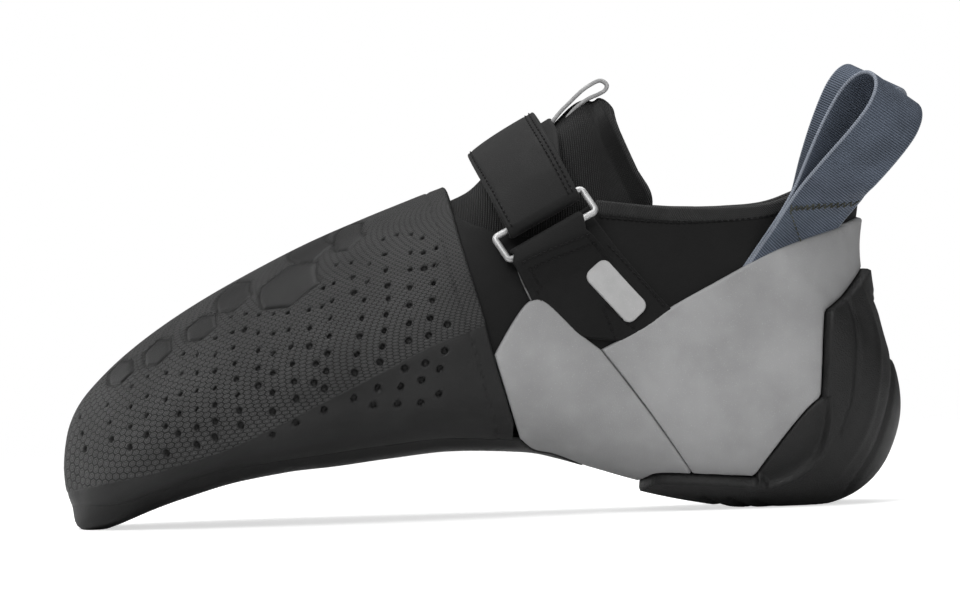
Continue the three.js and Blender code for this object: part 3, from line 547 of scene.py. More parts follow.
def calculate_vector(tree, operation, *values):
    made = add_node(tree, "ShaderNodeVectorMath", dict(enumerate(values)), operation=operation)
    return made.outputs["Value" if operation in ("LENGTH", "DOT_PRODUCT") else "Vector"]


def map_range(tree, value, low, high, to_low=0.0, to_high=1.0):
    made = add_node(tree, "ShaderNodeMapRange", {
        "Value": value, "From Min": low, "From Max": high, "To Min": to_low, "To Max": to_high,
    }, interpolation_type="SMOOTHSTEP")
    return made.outputs["Result"]


def mix_colors(tree, share, a, b):
    made = add_node(tree, "ShaderNodeMix", {"Factor": share}, data_type="RGBA")
    for socket, value in zip([s for s in made.inputs if s.type == "RGBA"], (a, b)):
        if isinstance(value, bpy.types.NodeSocket):
            tree.links.new(value, socket)
        else:
            socket.default_value = value
    return next(s for s in made.outputs if s.type == "RGBA")


def grey(value, tint=(1, 1, 1)):
    return (value * tint[0], value * tint[1], value * tint[2], 1)


def new_group(name, inputs, outputs):
    """An empty node group with named sockets, and its input and output nodes."""
    group = bpy.data.node_groups.new(name, "ShaderNodeTree")
    for kind, sockets in (("INPUT", inputs), ("OUTPUT", outputs)):
        for label, socket_type in sockets.items():
            group.interface.new_socket(name=label, in_out=kind, socket_type=socket_type)
    return group, group.nodes.new("NodeGroupInput"), group.nodes.new("NodeGroupOutput")


def use_group(tree, group, inputs):
    return add_node(tree, "ShaderNodeGroup", inputs, node_tree=group).outputs


FLOAT, VECTOR = "NodeSocketFloat", "NodeSocketVector"

# %% [markdown]
# Rubber from a mould is never quite even. A close noise gives the pebbled skin, a wide one the
# slow change of tone that handling leaves. Both read object coordinates, so they need no seams.

# %% Fine grain
def grain_group():
    group, given, out = new_group("Fine grain", {
        "Vector": VECTOR, "Grain size": FLOAT, "Cloud size": FLOAT,
    }, {"Height": FLOAT, "Clouds": FLOAT, "Specks": FLOAT})
    fine = add_node(group, "ShaderNodeTexNoise", {
        "Vector": given.outputs["Vector"],
        "Scale": calculate(group, "DIVIDE", 1, given.outputs["Grain size"]),
        "Detail": 2.0,
    })
    wide = add_node(group, "ShaderNodeTexNoise", {
        "Vector": given.outputs["Vector"],
        "Scale": calculate(group, "DIVIDE", 1, given.outputs["Cloud size"]),
        "Detail": 3.0, "Roughness": 0.6,
    })
    group.links.new(fine.outputs["Fac"], out.inputs["Height"])
    group.links.new(map_range(group, wide.outputs["Fac"], 0.3, 0.7), out.inputs["Clouds"])
    group.links.new(map_range(group, fine.outputs["Fac"], 0.62, 0.74), out.inputs["Specks"])
    return group


# %% [markdown]
# Webbing and knit are ribs with threads crossing them. Two sine waves over the cloth's own UV, in
# mm, give them, and every other rib is shifted by half a thread, as in a plain weave.

# %% Woven ribs
def weave_group():
    group, given, out = new_group("Woven ribs", {
        "Vector": VECTOR, "Rib pitch": FLOAT, "Thread pitch": FLOAT,
    }, {"Height": FLOAT, "Threads": FLOAT})
    place = add_node(group, "ShaderNodeSeparateXYZ", {"Vector": given.outputs["Vector"]}).outputs
    rib = calculate(group, "DIVIDE", place["X"], given.outputs["Rib pitch"])
    row = calculate(group, "MULTIPLY", calculate(group, "FLOOR", rib), 0.5)
    across = calculate(group, "DIVIDE", place["Y"], given.outputs["Thread pitch"])
    wave = calculate(group, "ABSOLUTE", calculate(
        group, "SINE", calculate(group, "MULTIPLY", rib, math.pi)))
    thread = calculate(group, "ABSOLUTE", calculate(
        group, "SINE", calculate(group, "MULTIPLY", calculate(group, "ADD", across, row), math.pi)))
    height = calculate(group, "ADD", calculate(group, "MULTIPLY", wave, 0.7),
                       calculate(group, "MULTIPLY", calculate(group, "MULTIPLY", wave, thread), 0.3))
    group.links.new(height, out.inputs["Height"])
    group.links.new(thread, out.inputs["Threads"])
    return group


# %% [markdown]
# The toe patch is covered with small hexagons, each with a tiny ring in it. A plane of hexagons is
# two square grids, one shifted by half a cell: the nearer centre of the two gives the cell, and the
# distance to its sides gives the groove. It could be real geometry, but at 1.7 mm a cell that would
# be thousands of faces for a relief thinner than paper.

# %% Honeycomb
CELL_RING = 0.24  # radius of the ring in a cell, as a share of the cell's width
RING_LINE = (0.02, 0.08)  # where the ring's line starts to fade, and where it ends
CELL_GROOVE = (0.35, 0.45)  # where the groove round a cell begins, and where it is deepest


def honeycomb_group():
    group, given, out = new_group("Honeycomb", {
        "Vector": VECTOR, "Cell size": FLOAT,
    }, {"Groove": FLOAT, "Ring": FLOAT})
    half = (0.5, math.sqrt(3) / 2, 0.5)
    low = (-0.5, -math.sqrt(3) / 2, -0.5)
    scaled = add_node(group, "ShaderNodeVectorMath", {
        0: given.outputs["Vector"],
        "Scale": calculate(group, "DIVIDE", 1, given.outputs["Cell size"]),
    }, operation="SCALE").outputs["Vector"]
    shifted = calculate_vector(group, "ADD", scaled, (0.5, math.sqrt(3) / 2, 0))
    first = calculate_vector(group, "WRAP", scaled, half, low)
    second = calculate_vector(group, "WRAP", shifted, half, low)
    nearer = calculate(group, "LESS_THAN", calculate_vector(group, "LENGTH", first),
                       calculate_vector(group, "LENGTH", second))
    cell = add_node(group, "ShaderNodeMix", {"Factor": nearer}, data_type="VECTOR")
    for socket in cell.inputs:
        if socket.identifier in ("A_Vector", "B_Vector"):
            group.links.new(second if socket.identifier == "A_Vector" else first, socket)
    cell = next(s for s in cell.outputs if s.type == "VECTOR")
    folded = calculate_vector(group, "ABSOLUTE", cell)
    slanted = calculate_vector(group, "DOT_PRODUCT", folded, (0.5, math.sqrt(3) / 2, 0))
    side = add_node(group, "ShaderNodeSeparateXYZ", {"Vector": folded}).outputs["X"]
    reach = calculate(group, "MAXIMUM", slanted, side)
    radius = calculate_vector(group, "LENGTH", cell)
    ring = calculate(group, "ABSOLUTE", calculate(group, "SUBTRACT", radius, CELL_RING))
    group.links.new(map_range(group, reach, *CELL_GROOVE), out.inputs["Groove"])
    group.links.new(map_range(group, ring, *RING_LINE, 1, 0), out.inputs["Ring"])
    return group


grain = grain_group()
weave = weave_group()
honeycomb = honeycomb_group()

# %% A material with the shader's own values
def new_material(name, **values):
    """A Principled material. Values that are the same all over sit on the shader itself."""
    material = bpy.data.materials.new(name)
    material.use_nodes = True
    shader = material.node_tree.nodes["Principled BSDF"]
    for key, value in values.items():
        shader.inputs[key.replace("_", " ")].default_value = value
    return material, material.node_tree, shader


def object_place(tree):
    return add_node(tree, "ShaderNodeTexCoord").outputs["Object"]


def cloth_place(tree):
    return add_node(tree, "ShaderNodeUVMap", uv_map="UVMap").outputs["UV"]


def kept_mask(tree, name):
    return add_node(tree, "ShaderNodeAttribute", attribute_name=name).outputs["Fac"]


def add_bump(tree, shader, height, depth):
    bump = add_node(tree, "ShaderNodeBump", {"Height": height, "Distance": depth})
    tree.links.new(bump.outputs["Normal"], shader.inputs["Normal"])


def grained(name, light, dark, grain_size, cloud_size, roughness, depth, tint=(1, 1, 1), **values):
    """A finish of two close tones in clouds, with a fine grain in its surface."""
    material, tree, shader = new_material(name, **values)
    parts = use_group(tree, grain, {
        "Vector": object_place(tree), "Grain size": grain_size * MM, "Cloud size": cloud_size * MM,
    })
    tone = mix_colors(tree, parts["Clouds"], grey(dark, tint), grey(light, tint))
    tree.links.new(mix_colors(tree, calculate(tree, "MULTIPLY", parts["Specks"], 0.35), tone,
                              grey(light * 1.7, tint)), shader.inputs["Base Color"])
    tree.links.new(map_range(tree, parts["Clouds"], 0, 1, roughness[0], roughness[1]),
                   shader.inputs["Roughness"])
    add_bump(tree, shader, parts["Height"], depth * MM)
    return material


# %% The plain finishes
DULL = {"Specular_IOR_Level": 0.22}  # cloth, and rubber with a fine grain, scatter their gloss
rand_rubber = grained("Pale rand rubber", 0.375, 0.30, 0.3, 22, (0.46, 0.6), 0.06,
                      (0.99, 0.99, 1.0), Specular_IOR_Level=0.35)
cup_rubber = grained("Black cup rubber", 0.012, 0.007, 0.42, 18, (0.42, 0.55), 0.22,
                     Specular_IOR_Level=0.4)
sole_rubber = grained("Black sole rubber", 0.018, 0.011, 0.22, 25, (0.44, 0.5), 0.1,
                      Specular_IOR_Level=0.3)
microfibre = grained("Black microfibre", 0.009, 0.005, 0.4, 14, (0.7, 0.8), 0.12,
                     Sheen_Weight=0.05, Sheen_Roughness=0.4, **DULL)
strap_cloth = grained("Strap microfibre", 0.016, 0.010, 0.35, 12, (0.6, 0.72), 0.1,
                      Sheen_Weight=0.06, Sheen_Roughness=0.4, **DULL)
lining_cloth = grained("Lining felt", 0.03, 0.02, 0.35, 9, (0.9, 0.95), 0.12, **DULL)
edge_cloth = grained("Pale cut edge", 0.2, 0.1, 0.3, 6, (0.7, 0.8), 0.05, **DULL)
pale_tape = grained("Pale tape", 0.5, 0.36, 0.3, 3, (0.6, 0.7), 0.12, **DULL)
badge_plate = grained("Badge plate", 0.5, 0.44, 0.25, 8, (0.5, 0.6), 0.02, **DULL)
ring_metal = grained("Ring metal", 0.62, 0.5, 0.5, 5, (0.42, 0.52), 0.02, Metallic=0.75)
black_thread = grained("Black thread", 0.006, 0.003, 0.15, 3, (0.5, 0.6), 0.02, **DULL)
olive_thread = grained("Olive thread", 0.09, 0.045, 0.15, 3, (0.5, 0.6), 0.02, (1, 1.02, 0.8),
                       **DULL)

# %% The toe patch's rubber
CELL_SIZE = 1.72
CELL_RELIEF = 0.35


def patch_rubber_material():
    material, tree, shader = new_material("Patch rubber", Specular_IOR_Level=0.3)
    cells = use_group(tree, honeycomb, {"Vector": cloth_place(tree), "Cell size": CELL_SIZE})
    parts = use_group(tree, grain, {
        "Vector": object_place(tree), "Grain size": 0.22 * MM, "Cloud size": 25 * MM,
    })
    pattern = kept_mask(tree, "honeycomb")
    hole_shade = kept_mask(tree, "hole_shade")
    groove = calculate(tree, "MULTIPLY", cells["Groove"], pattern)
    ring = calculate(tree, "MULTIPLY", cells["Ring"], pattern)
    smooth_tone = mix_colors(tree, parts["Clouds"], grey(0.011), grey(0.018))
    cell_tone = mix_colors(tree, parts["Clouds"], grey(0.054), grey(0.078))
    tone = mix_colors(tree, pattern, smooth_tone, cell_tone)
    # painted shade: the grooves round the cells and the rings in them are painted darker than the
    # rubber, on top of their bump
    tone = mix_colors(tree, calculate(tree, "MULTIPLY", groove, 0.9), tone, grey(0.004))
    tone = mix_colors(tree, calculate(tree, "MULTIPLY", ring, 0.75), tone, grey(0.02))
    # painted shade: the dimples and the grooves round the pads are painted near-black
    tone = mix_colors(tree, hole_shade, tone, grey(0.003))
    tree.links.new(tone, shader.inputs["Base Color"])
    tree.links.new(map_range(tree, pattern, 0, 1, 0.44, 0.52), shader.inputs["Roughness"])
    cut = calculate(tree, "ADD", groove, calculate(tree, "MULTIPLY", ring, 0.5))
    height = calculate(tree, "SUBTRACT", calculate(tree, "MULTIPLY", parts["Height"], 0.3), cut)
    add_bump(tree, shader, height, CELL_RELIEF * MM)
    return material


def woven(name, light, dark, rib_pitch, thread_pitch, roughness, depth, tint=(1, 1, 1), **values):
    """A cloth of ribs, with painted shade between them."""
    material, tree, shader = new_material(name, **values)
    ribs = use_group(tree, weave, {
        "Vector": cloth_place(tree), "Rib pitch": rib_pitch, "Thread pitch": thread_pitch,
    })
    parts = use_group(tree, grain, {
        "Vector": object_place(tree), "Grain size": 0.2 * MM, "Cloud size": 12 * MM,
    })
    # painted shade: the cloth is darker in the valleys between the ribs, with clouds of tone mixed in
    shade = calculate(tree, "ADD", calculate(tree, "MULTIPLY", ribs["Height"], 0.75),
                      calculate(tree, "MULTIPLY", parts["Clouds"], 0.25))
    tree.links.new(mix_colors(tree, shade, grey(dark, tint), grey(light, tint)),
                   shader.inputs["Base Color"])
    tree.links.new(map_range(tree, parts["Clouds"], 0, 1, roughness, roughness + 0.1),
                   shader.inputs["Roughness"])
    add_bump(tree, shader, ribs["Height"], depth * MM)
    return material, tree, shader


# %% The woven finishes
patch_rubber = patch_rubber_material()
tongue_mesh, tree, shader = woven("Ribbed stretch mesh", 0.024, 0.003, 0.9, 0.8, 0.6, 0.35,
                                  Sheen_Weight=0.1, Sheen_Roughness=0.35, **DULL)
ribbed = shader.inputs["Base Color"].links[0].from_socket
# near-black along the rear edge: partly a dark binding, partly painted shade where the edge turns away
# from the light
tree.links.new(mix_colors(tree, kept_mask(tree, "hem_and_shade"), ribbed, grey(0.004)),
               shader.inputs["Base Color"])
collar_twill, _, _ = woven("Collar twill", 0.05, 0.005, 0.8, 0.9, 0.62, 0.35,
                           Sheen_Weight=0.1, Sheen_Roughness=0.4, **DULL)
webbing, tree, shader = woven("Blue-grey webbing", 0.24, 0.05, 0.72, 0.62, 0.6, 0.3,
                              (0.72, 0.86, 1.12), **DULL)


SELVEDGE = (9.35, 9.6)  # where it begins and is palest, in mm from the webbing's middle line


def add_selvedge(tree, shader):
    """A paler line along both edges of the webbing."""
    across = add_node(tree, "ShaderNodeSeparateXYZ", {"Vector": cloth_place(tree)}).outputs["Y"]
    edge = map_range(tree, calculate(tree, "ABSOLUTE", across), *SELVEDGE)
    cloth = shader.inputs["Base Color"].links[0].from_socket
    tree.links.new(mix_colors(tree, calculate(tree, "MULTIPLY", edge, 0.7), cloth,
                              grey(0.42, (0.85, 0.93, 1.08))), shader.inputs["Base Color"])


add_selvedge(tree, shader)
print(len(bpy.data.materials), "materials")


# %% Placing a piece
def place(piece, material, slot, *nodes):
    """Give a finished piece its material and its parent body, and hide the nodes it stands for. Its
    slot is not used.
    """
    if material:
        piece.data.materials.append(material)
    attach(piece, "root")
    if nodes:
        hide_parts(*nodes)
    return piece


# %% [markdown]
# ## The upper
# The upper is one thin shell of microfibre, open at the collar and over the instep, and underneath
# where the sole closes it. It is cut from the whole last. The other panels lie 0.05 mm above it.

# %% Upper
WINDOW_SHARE = 0.3
WINDOW_STATIONS = (4, 17)
OVER_UPPER = 0.05
WINDOW_END_SLOPE, WINDOW_SIDE_SLOPE = 8, 90  # mm to a station and to a round, near enough
FAR_UP = 1.7

opening_line = outline(THROAT, COLLAR, (1.1, 0.985), (1.1, FAR_UP), (0.452, FAR_UP))


def upper_region(params):
    """Distance to the nearest opening of the upper: collar, throat or sole window."""
    station, around = params.T
    closed = -surface_distance(opening_line)(params)
    inside = np.minimum(station - WINDOW_STATIONS[0], WINDOW_STATIONS[1] - station)
    window = np.minimum(inside * WINDOW_END_SLOPE,
                        (WINDOW_SHARE - np.abs(around)) * WINDOW_SIDE_SLOPE)
    return np.minimum(closed, -window)


place(panel("upper", upper_region, -UPPER_WALL, 0, (0, LAST_END), WHOLE, 1.8,
            edge=0.9, soft_back=True), microfibre, "microfibre", "upper")

# %% [markdown]
# The collar's edge is bound with a 4 mm twill tape that is folded over it. It wraps the upper's
# wall on both sides, so it is a shell a little thicker than the wall.

# %% Collar binding
BINDING_WIDTH = 4.2
BINDING_LIFT = 0.45
lower_collar = [(l, h - BINDING_WIDTH / INSTEP_HEIGHT) for l, h in COLLAR]
binding_line = outline([(0.646, 0.958)] + [(l, h + 0.005) for l, h in COLLAR[1:]],
                       back(lower_collar))
place(panel("collar_binding", surface_distance(binding_line), -UPPER_WALL - BINDING_LIFT,
            BINDING_LIFT, (14, LAST_END), WHOLE, 1.0, edge=1.0, soft_back=True),
      collar_twill, "microfibre")

# %% [markdown]
# ## The rands
# A rand is a band of sheet rubber stretched round the foot and glued. The front one holds the arch,
# the rear one pulls the heel forward. They are the palest parts of the shoe, smooth and satin.

# %% Rands
RAND_TOP = OVER_UPPER + GAP + RAND_THICKNESS
for side, side_name, rounds in ((-1, "outer", OUTER), (1, "inner", INNER)):
    place(panel("front_rand_" + side_name, surface_distance(front_rand_outline, side), OVER_UPPER,
                RAND_TOP, (11, 18), rounds, 1.2, edge=0.7),
          rand_rubber, "rand_rubber", "front_rand_" + side_name)
place(panel("rear_rand", surface_distance(rear_rand_outline), OVER_UPPER, RAND_TOP,
            (14, LAST_END), WHOLE, 1.2, edge=0.7), rand_rubber, "rand_rubber", "rear_rand")

# %% [markdown]
# ## The toe patch
# The patch is one sheet of rubber moulded in a flat tool and then stretched over the toes, so its
# honeycomb, its smooth pads and its rows of dimples are laid out on the flat. Blender can go the
# other way round: unwrapping lays a coarse copy of the surface flat with the least stretch, and
# the fine panel reads its UV from there, in mm. A projection from the side would smear at the toe.

# %% Laying the patch flat
FLAT_MARGIN = 8
FLAT_ROWS, FLAT_COLUMNS = 44, 73
RIDGE_ROWS = (10, 40)  # the flat copy is turned so that the ridge runs level between them
TOE_SQUEEZE = 0.72  # the moulded cells are stretched by this across the rounding of the toes


def flatten(region, last_station, distance):
    """Unwrap a stretch of the skin, and return a function from a place to its flat UV in mm."""
    along = np.concatenate([[0], np.linspace(0.3, last_station, FLAT_ROWS)])
    over = np.linspace(-1, 1, FLAT_COLUMNS)
    point = skin_point(along[:, None], over[None], distance)
    index = np.arange(point.size // 3).reshape(point.shape[:2])
    index[:, -1] = index[:, 0]
    index[0] = 0
    params = np.stack(np.meshgrid(along, over, indexing="ij"), -1).reshape(-1, 2)
    inside = (region(params) > -FLAT_MARGIN).reshape(index.shape)
    quads = [index[:-1, :-1], index[1:, :-1], index[1:, 1:], index[:-1, 1:]]
    quads = np.stack(quads, -1)[inside[:-1, :-1] | inside[1:, 1:]]
    faces = [list(dict.fromkeys(quad)) for quad in quads.tolist()]
    used = sorted({i for face in faces for i in face})
    renumber = {old: new for new, old in enumerate(used)}
    mesh = bpy.data.meshes.new("flat")
    point[..., 1] *= mix(TOE_SQUEEZE, 1, smooth(along / 5))[:, None]
    mesh.from_pydata(point.reshape(-1, 3)[used].tolist(), [],
                     [[renumber[i] for i in face] for face in faces])
    mesh.uv_layers.new(name="UVMap")
    flat = bpy.data.objects.new("flat", mesh)
    bpy.context.scene.collection.objects.link(flat)
    bpy.context.view_layer.objects.active = flat
    bpy.ops.object.mode_set(mode="EDIT")
    bpy.ops.mesh.select_all(action="SELECT")
    bpy.ops.uv.unwrap(method="MINIMUM_STRETCH", iterations=60, margin=0.0)
    bpy.ops.object.mode_set(mode="OBJECT")
    corners = np.zeros(len(mesh.loops), int)
    mesh.loops.foreach_get("vertex_index", corners)
    loop_uv = np.zeros(2 * len(mesh.loops))
    mesh.uv_layers["UVMap"].data.foreach_get("uv", loop_uv)
    laid = np.zeros((len(used), 2))
    laid[corners] = loop_uv.reshape(-1, 2)
    table = np.zeros((index.size, 2))
    table[used] = laid
    table = table[index.ravel()].reshape(*index.shape, 2)
    a, b = (np.array([e.vertices[k] for e in mesh.edges]) for k in (0, 1))
    real = point.reshape(-1, 3)[used]
    scale = (np.linalg.norm(real[a] - real[b], axis=1).sum()
             / np.linalg.norm(laid[a] - laid[b], axis=1).sum())
    start, end = (table[row, 0] for row in RIDGE_ROWS)
    ridge = end - start
    turn = np.array([[ridge[0], -ridge[1]], [ridge[1], ridge[0]]]) / np.linalg.norm(ridge)
    table = (table - start) @ turn * scale
    bpy.data.objects.remove(flat)
    return lambda params: on_grid(table, along, over, params)


FLUSH = 5  # how much crisper the joint with the sole is than the patch's free edge
PATCH_LAP = 0.6  # how far the patch's lower edge reaches under the flush edge of the sole
PATCH_END = 13.4  # the last station that the patch reaches
above_sole = surface_distance(outline((-0.1, 0.072), SOLE_EDGE, (0.7, 0.256), (0.7, 1.5),
                                      (-0.1, 1.5)))
free_patch = surface_distance(outline(back(PATCH_REAR), (-0.1, 1.06), (-0.1, -0.3), (0.546, -0.3)))


def patch_region(params):
    return np.minimum(free_patch(params), FLUSH * (above_sole(params) + PATCH_LAP))


patch_flat = flatten(lambda params: np.minimum(free_patch(params), above_sole(params)),
                     PATCH_END, PATCH_THICKNESS)
corner_places = patch_flat(np.array([(1.0, -0.6), (1.0, 0.6), (12.0, -0.5), (12.0, 0.5)]))
print("flat places of four corners in mm", corner_places.round(0).tolist())

# %% [markdown]
# The patch's features are charted in the side view, as shares of length and instep height, the
# same on both sides of the foot: the lower edge of the honeycomb, the seam of the turned rear edge,
# the stretched hexagon pads along the ridge, and the columns of dimples.

# %% Chart of the patch
HONEYCOMB_EDGE = [(-0.03, 0.108), (0.004, 0.116), (0.0865, 0.166), (0.154, 0.218),
                  (0.211, 0.265), (0.256, 0.312), (0.324, 0.388), (0.4015, 0.4775),
                  (0.448, 0.534), (0.4883, 0.571), (0.52, 0.6)]
PATCH_SEAM = [(0.445, 1.02), (0.453, 0.939), (0.465, 0.825), (0.477, 0.695), (0.488, 0.599),
              (0.508, 0.404), (0.522, 0.252), (0.527, 0.2)]
PAD_SHAPE = np.array([(-1, -0.07), (0.05, 0.92), (0.92, 1), (1, 0.07), (-0.05, -0.92), (-0.92, -1)])
# place along and up the side view, half length and half height in mm
PADS = [(0.282, 0.729, 8.8, 6.6), (0.354, 0.868, 4.4, 4.0), (0.215, 0.7, 5.2, 4.4),
        (0.175, 0.61, 4.6, 3.8), (0.122, 0.541, 4.2, 4.0), (0.076, 0.482, 3.9, 3.6),
        (0.312, 0.845, 5.6, 4.8)]
# from the top place to the lowest one, and how many dimples lie between
DIMPLE_COLUMNS = [
    (0.023, 0.346, 0.03, 0.251, 3), (0.059, 0.383, 0.064, 0.281, 3), (0.089, 0.438, 0.086, 0.258, 4),
    (0.109, 0.467, 0.107, 0.295, 4), (0.132, 0.477, 0.13, 0.241, 4), (0.153, 0.533, 0.145, 0.298, 5),
    (0.17, 0.531, 0.167, 0.262, 6), (0.192, 0.578, 0.189, 0.284, 7), (0.211, 0.641, 0.22, 0.318, 8),
    (0.228, 0.648, 0.227, 0.602, 2), (0.244, 0.644, 0.242, 0.436, 5), (0.262, 0.645, 0.258, 0.357, 6),
    (0.279, 0.649, 0.286, 0.395, 6), (0.305, 0.656, 0.304, 0.549, 3), (0.322, 0.72, 0.308, 0.44, 6),
    (0.337, 0.785, 0.32, 0.422, 8), (0.355, 0.792, 0.358, 0.703, 3), (0.377, 0.787, 0.356, 0.467, 7),
    (0.394, 0.86, 0.398, 0.721, 4), (0.41, 0.87, 0.386, 0.495, 9), (0.427, 0.87, 0.42, 0.556, 7),
    (0.441, 0.86, 0.441, 0.769, 3), (0.457, 0.828, 0.444, 0.569, 6), (0.466, 0.601, 0.466, 0.6, 1),
]
SMOOTH_DIMPLES = [(0.257, 0.284), (0.285, 0.318), (0.319, 0.355), (0.354, 0.388), (0.377, 0.364),
                  (0.383, 0.416), (0.405, 0.365), (0.409, 0.419), (0.415, 0.474), (0.432, 0.365),
                  (0.434, 0.435), (0.439, 0.487), (0.453, 0.391), (0.456, 0.467), (0.462, 0.522)]

# %% Places on the last that are seen at points of the side view
search_along = np.linspace(0.2, LAST_END, 300)
search_over = np.linspace(0.02, 0.98, 90)


def find_places(points, side):
    """Places on one side of the foot for points of the side view, in mm."""
    points = np.asarray(points, float)
    grid = np.stack(np.meshgrid(search_along, side * search_over, indexing="ij"), -1)
    grid = grid.reshape(-1, 2)
    seen = last_point(*grid.T)[:, [0, 2]]
    near = [np.hypot(*(seen - point).T).argmin() for point in points]
    found = grid[near]
    step = 1e-4
    for _ in range(6):
        here = last_point(*found.T)[:, [0, 2]]
        slopes = [(last_point(*(found + change).T)[:, [0, 2]] - here) / step
                  for change in ((step, 0), (0, step))]
        matrix = np.stack(slopes, -1)
        matrix = np.swapaxes(matrix, 1, 2) @ matrix + 0.5 * np.eye(2)
        pull = np.stack([(slope * (points - here)).sum(1) for slope in slopes], -1)
        found = found + np.linalg.solve(matrix, pull[..., None])[..., 0]
        found[:, 0] = np.clip(found[:, 0], 0.05, LAST_END)
        found[:, 1] = side * np.clip(side * found[:, 1], 0.01, 0.995)
    return found


def chart_points(chart):
    chart = np.asarray(chart, float)
    return np.stack([side_x(chart[:, 0]), side_z(chart[:, 1])], -1)


def line_distance(stretch):
    """A function for the distance along the surface to an open line of the side view."""
    line = curve(stretch)

    def measure(params):
        point = last_point(*params.T)
        normal = skin_normal(*params.T)
        best = np.full(len(params), np.inf)
        slope = np.zeros(len(params))
        for start, end in zip(line[:-1], line[1:]):
            run = end - start
            rel = point[:, [0, 2]] - start
            t = np.clip(rel @ run / (run @ run), 0, 1)
            gap = rel - t[:, None] * run
            distance = np.hypot(gap[:, 0], gap[:, 1])
            closer = distance < best
            best[closer] = distance[closer]
            slope[closer] = ((gap * normal[:, [0, 2]]).sum(1) / np.maximum(distance, 1e-9))[closer]
        return best / np.sqrt(np.maximum(1 - slope ** 2, LEAST_SLOPE))
    return measure


honeycomb_zone = surface_distance(outline(HONEYCOMB_EDGE, (0.56, 0.72), (0.56, 1.2), (-0.05, 1.2)))
seam_distance = line_distance(PATCH_SEAM)

# %% Dimples and pads as fields over the patch
SMALL_DIMPLE, LARGE_DIMPLE = 0.7, 1.1  # radii
DIMPLE_SPACING = 3.3  # where two columns run closer, the second one's dimple is left out


def chart_dimples():
    """Places in mm of the side view and radii of the dimples on one side."""
    charted = []
    for top_l, top_h, low_l, low_h, count in DIMPLE_COLUMNS:
        for share in np.linspace(0, 1, count) if count > 1 else (1,):
            radius = mix(SMALL_DIMPLE, LARGE_DIMPLE, share ** 1.5)
            charted.append((mix(top_l, low_l, share), mix(top_h, low_h, share), radius))
    charted += [(l, h, LARGE_DIMPLE) for l, h in SMOOTH_DIMPLES]
    kept = []
    for l, h, radius in charted:
        here = chart_points([(l, h)])[0]
        if all(np.hypot(*(here - other)) > DIMPLE_SPACING for other, _ in kept):
            kept.append((here, radius))
    return np.array([here for here, _ in kept]), np.array([radius for _, radius in kept])


def find_on_patch(points, side):
    """As find_places, for points that are seen on the patch's outer face."""
    found = find_places(points, side)
    lift = (skin_point(*found.T, OVER_UPPER + PATCH_THICKNESS) - last_point(*found.T))[:, [0, 2]]
    return find_places(points - lift, side)


charted_places, charted_radii = chart_dimples()
dimple_places = np.concatenate([find_on_patch(charted_places, side) for side in (-1, 1)])
dimple_points = last_point(*dimple_places.T)
dimple_radii = np.tile(charted_radii, 2)
print(len(dimple_points), "dimples")


def dimple_field(params):
    """Distance to the nearest dimple, as a share of its radius."""
    point = last_point(*params.T)
    nearest = np.full(len(params), 9.0)
    for centre, radius in zip(dimple_points, dimple_radii):
        near = np.abs(point[:, 0] - centre[0]) < 4 * radius
        share = np.linalg.norm(point[near] - centre, axis=1) / radius
        nearest[near] = np.minimum(nearest[near], share)
    return nearest


pad_shapes = []
for side in (-1, 1):
    for pad in PADS:
        corners = chart_points([pad[:2]]) + PAD_SHAPE * pad[2:]
        pad_shapes.append(patch_flat(find_on_patch(corners, side)))


def pad_field(params):
    """Distance in mm inside the nearest hexagon pad, negative outside."""
    flat = patch_flat(params)
    deepest = np.full(len(params), -9.0)
    for shape in pad_shapes:
        centre = shape.mean(0)
        near = np.abs(flat - centre).max(1) < np.abs(shape - centre).max() + 3
        deepest[near] = np.maximum(deepest[near], edge_distance(flat[near], shape)[0])
    return deepest


# %% [markdown]
# The relief follows those fields. The mesh is split along each rim and groove first, so that every
# one is crisp, and a mask for the honeycomb and a mask of painted shade in the dimples and along the
# pad outlines are kept for the material.

# %% Toe patch
GROOVE_WIDTH, GROOVE_DEPTH = 0.42, 0.55
DIMPLE_DEPTH = 1.1
SEAM_DEPTH = 0.45
SMOOTH_STEP = 0.18  # the smooth rubber lies this much below the honeycomb


def groove(distance, width, depth):
    return -depth * np.exp(-(distance / width) ** 2)


def patch_height(params):
    comb = smooth(honeycomb_zone(params) / 0.5 + 0.5)
    relief = SMOOTH_STEP * (comb - 1) - 0.04 * smooth(1 - above_sole(params) / 1.5)
    relief += groove(honeycomb_zone(params), 0.3, 0.16)
    relief += groove(seam_distance(params), 0.38, SEAM_DEPTH)
    relief += groove(pad_field(params), GROOVE_WIDTH, GROOVE_DEPTH)
    relief -= DIMPLE_DEPTH * smooth((1.1 - dimple_field(params)) / 0.4)
    return OVER_UPPER + GAP + PATCH_THICKNESS + relief


def honeycomb_mask(params):
    pads = smooth(-pad_field(params) / 0.4)
    holes = smooth((dimple_field(params) - 0.95) / 0.2)
    return smooth(honeycomb_zone(params) / 0.3 + 0.5) * pads * holes


# painted shade: dark inside the dimples and along the grooves round the pads
def hole_shade_mask(params):
    rim = np.exp(-(pad_field(params) / 0.65) ** 2)
    return np.maximum(smooth((1.0 - dimple_field(params)) / 0.25), rim)


place(panel("toe_patch", patch_region, OVER_UPPER, patch_height, (0, PATCH_END), WHOLE, 0.95,
            edge=0.8,
            levels=[(dimple_field, (1.1, 0.9, 0.7)), (pad_field, (-0.5, 0, 0.5)),
                    (seam_distance, (0.2, 0.7)), (honeycomb_zone, (-0.25, 0.25))],
            masks=[("honeycomb", honeycomb_mask), ("hole_shade", hole_shade_mask)], lay=patch_flat),
      patch_rubber, "patch_rubber", "toe_patch")

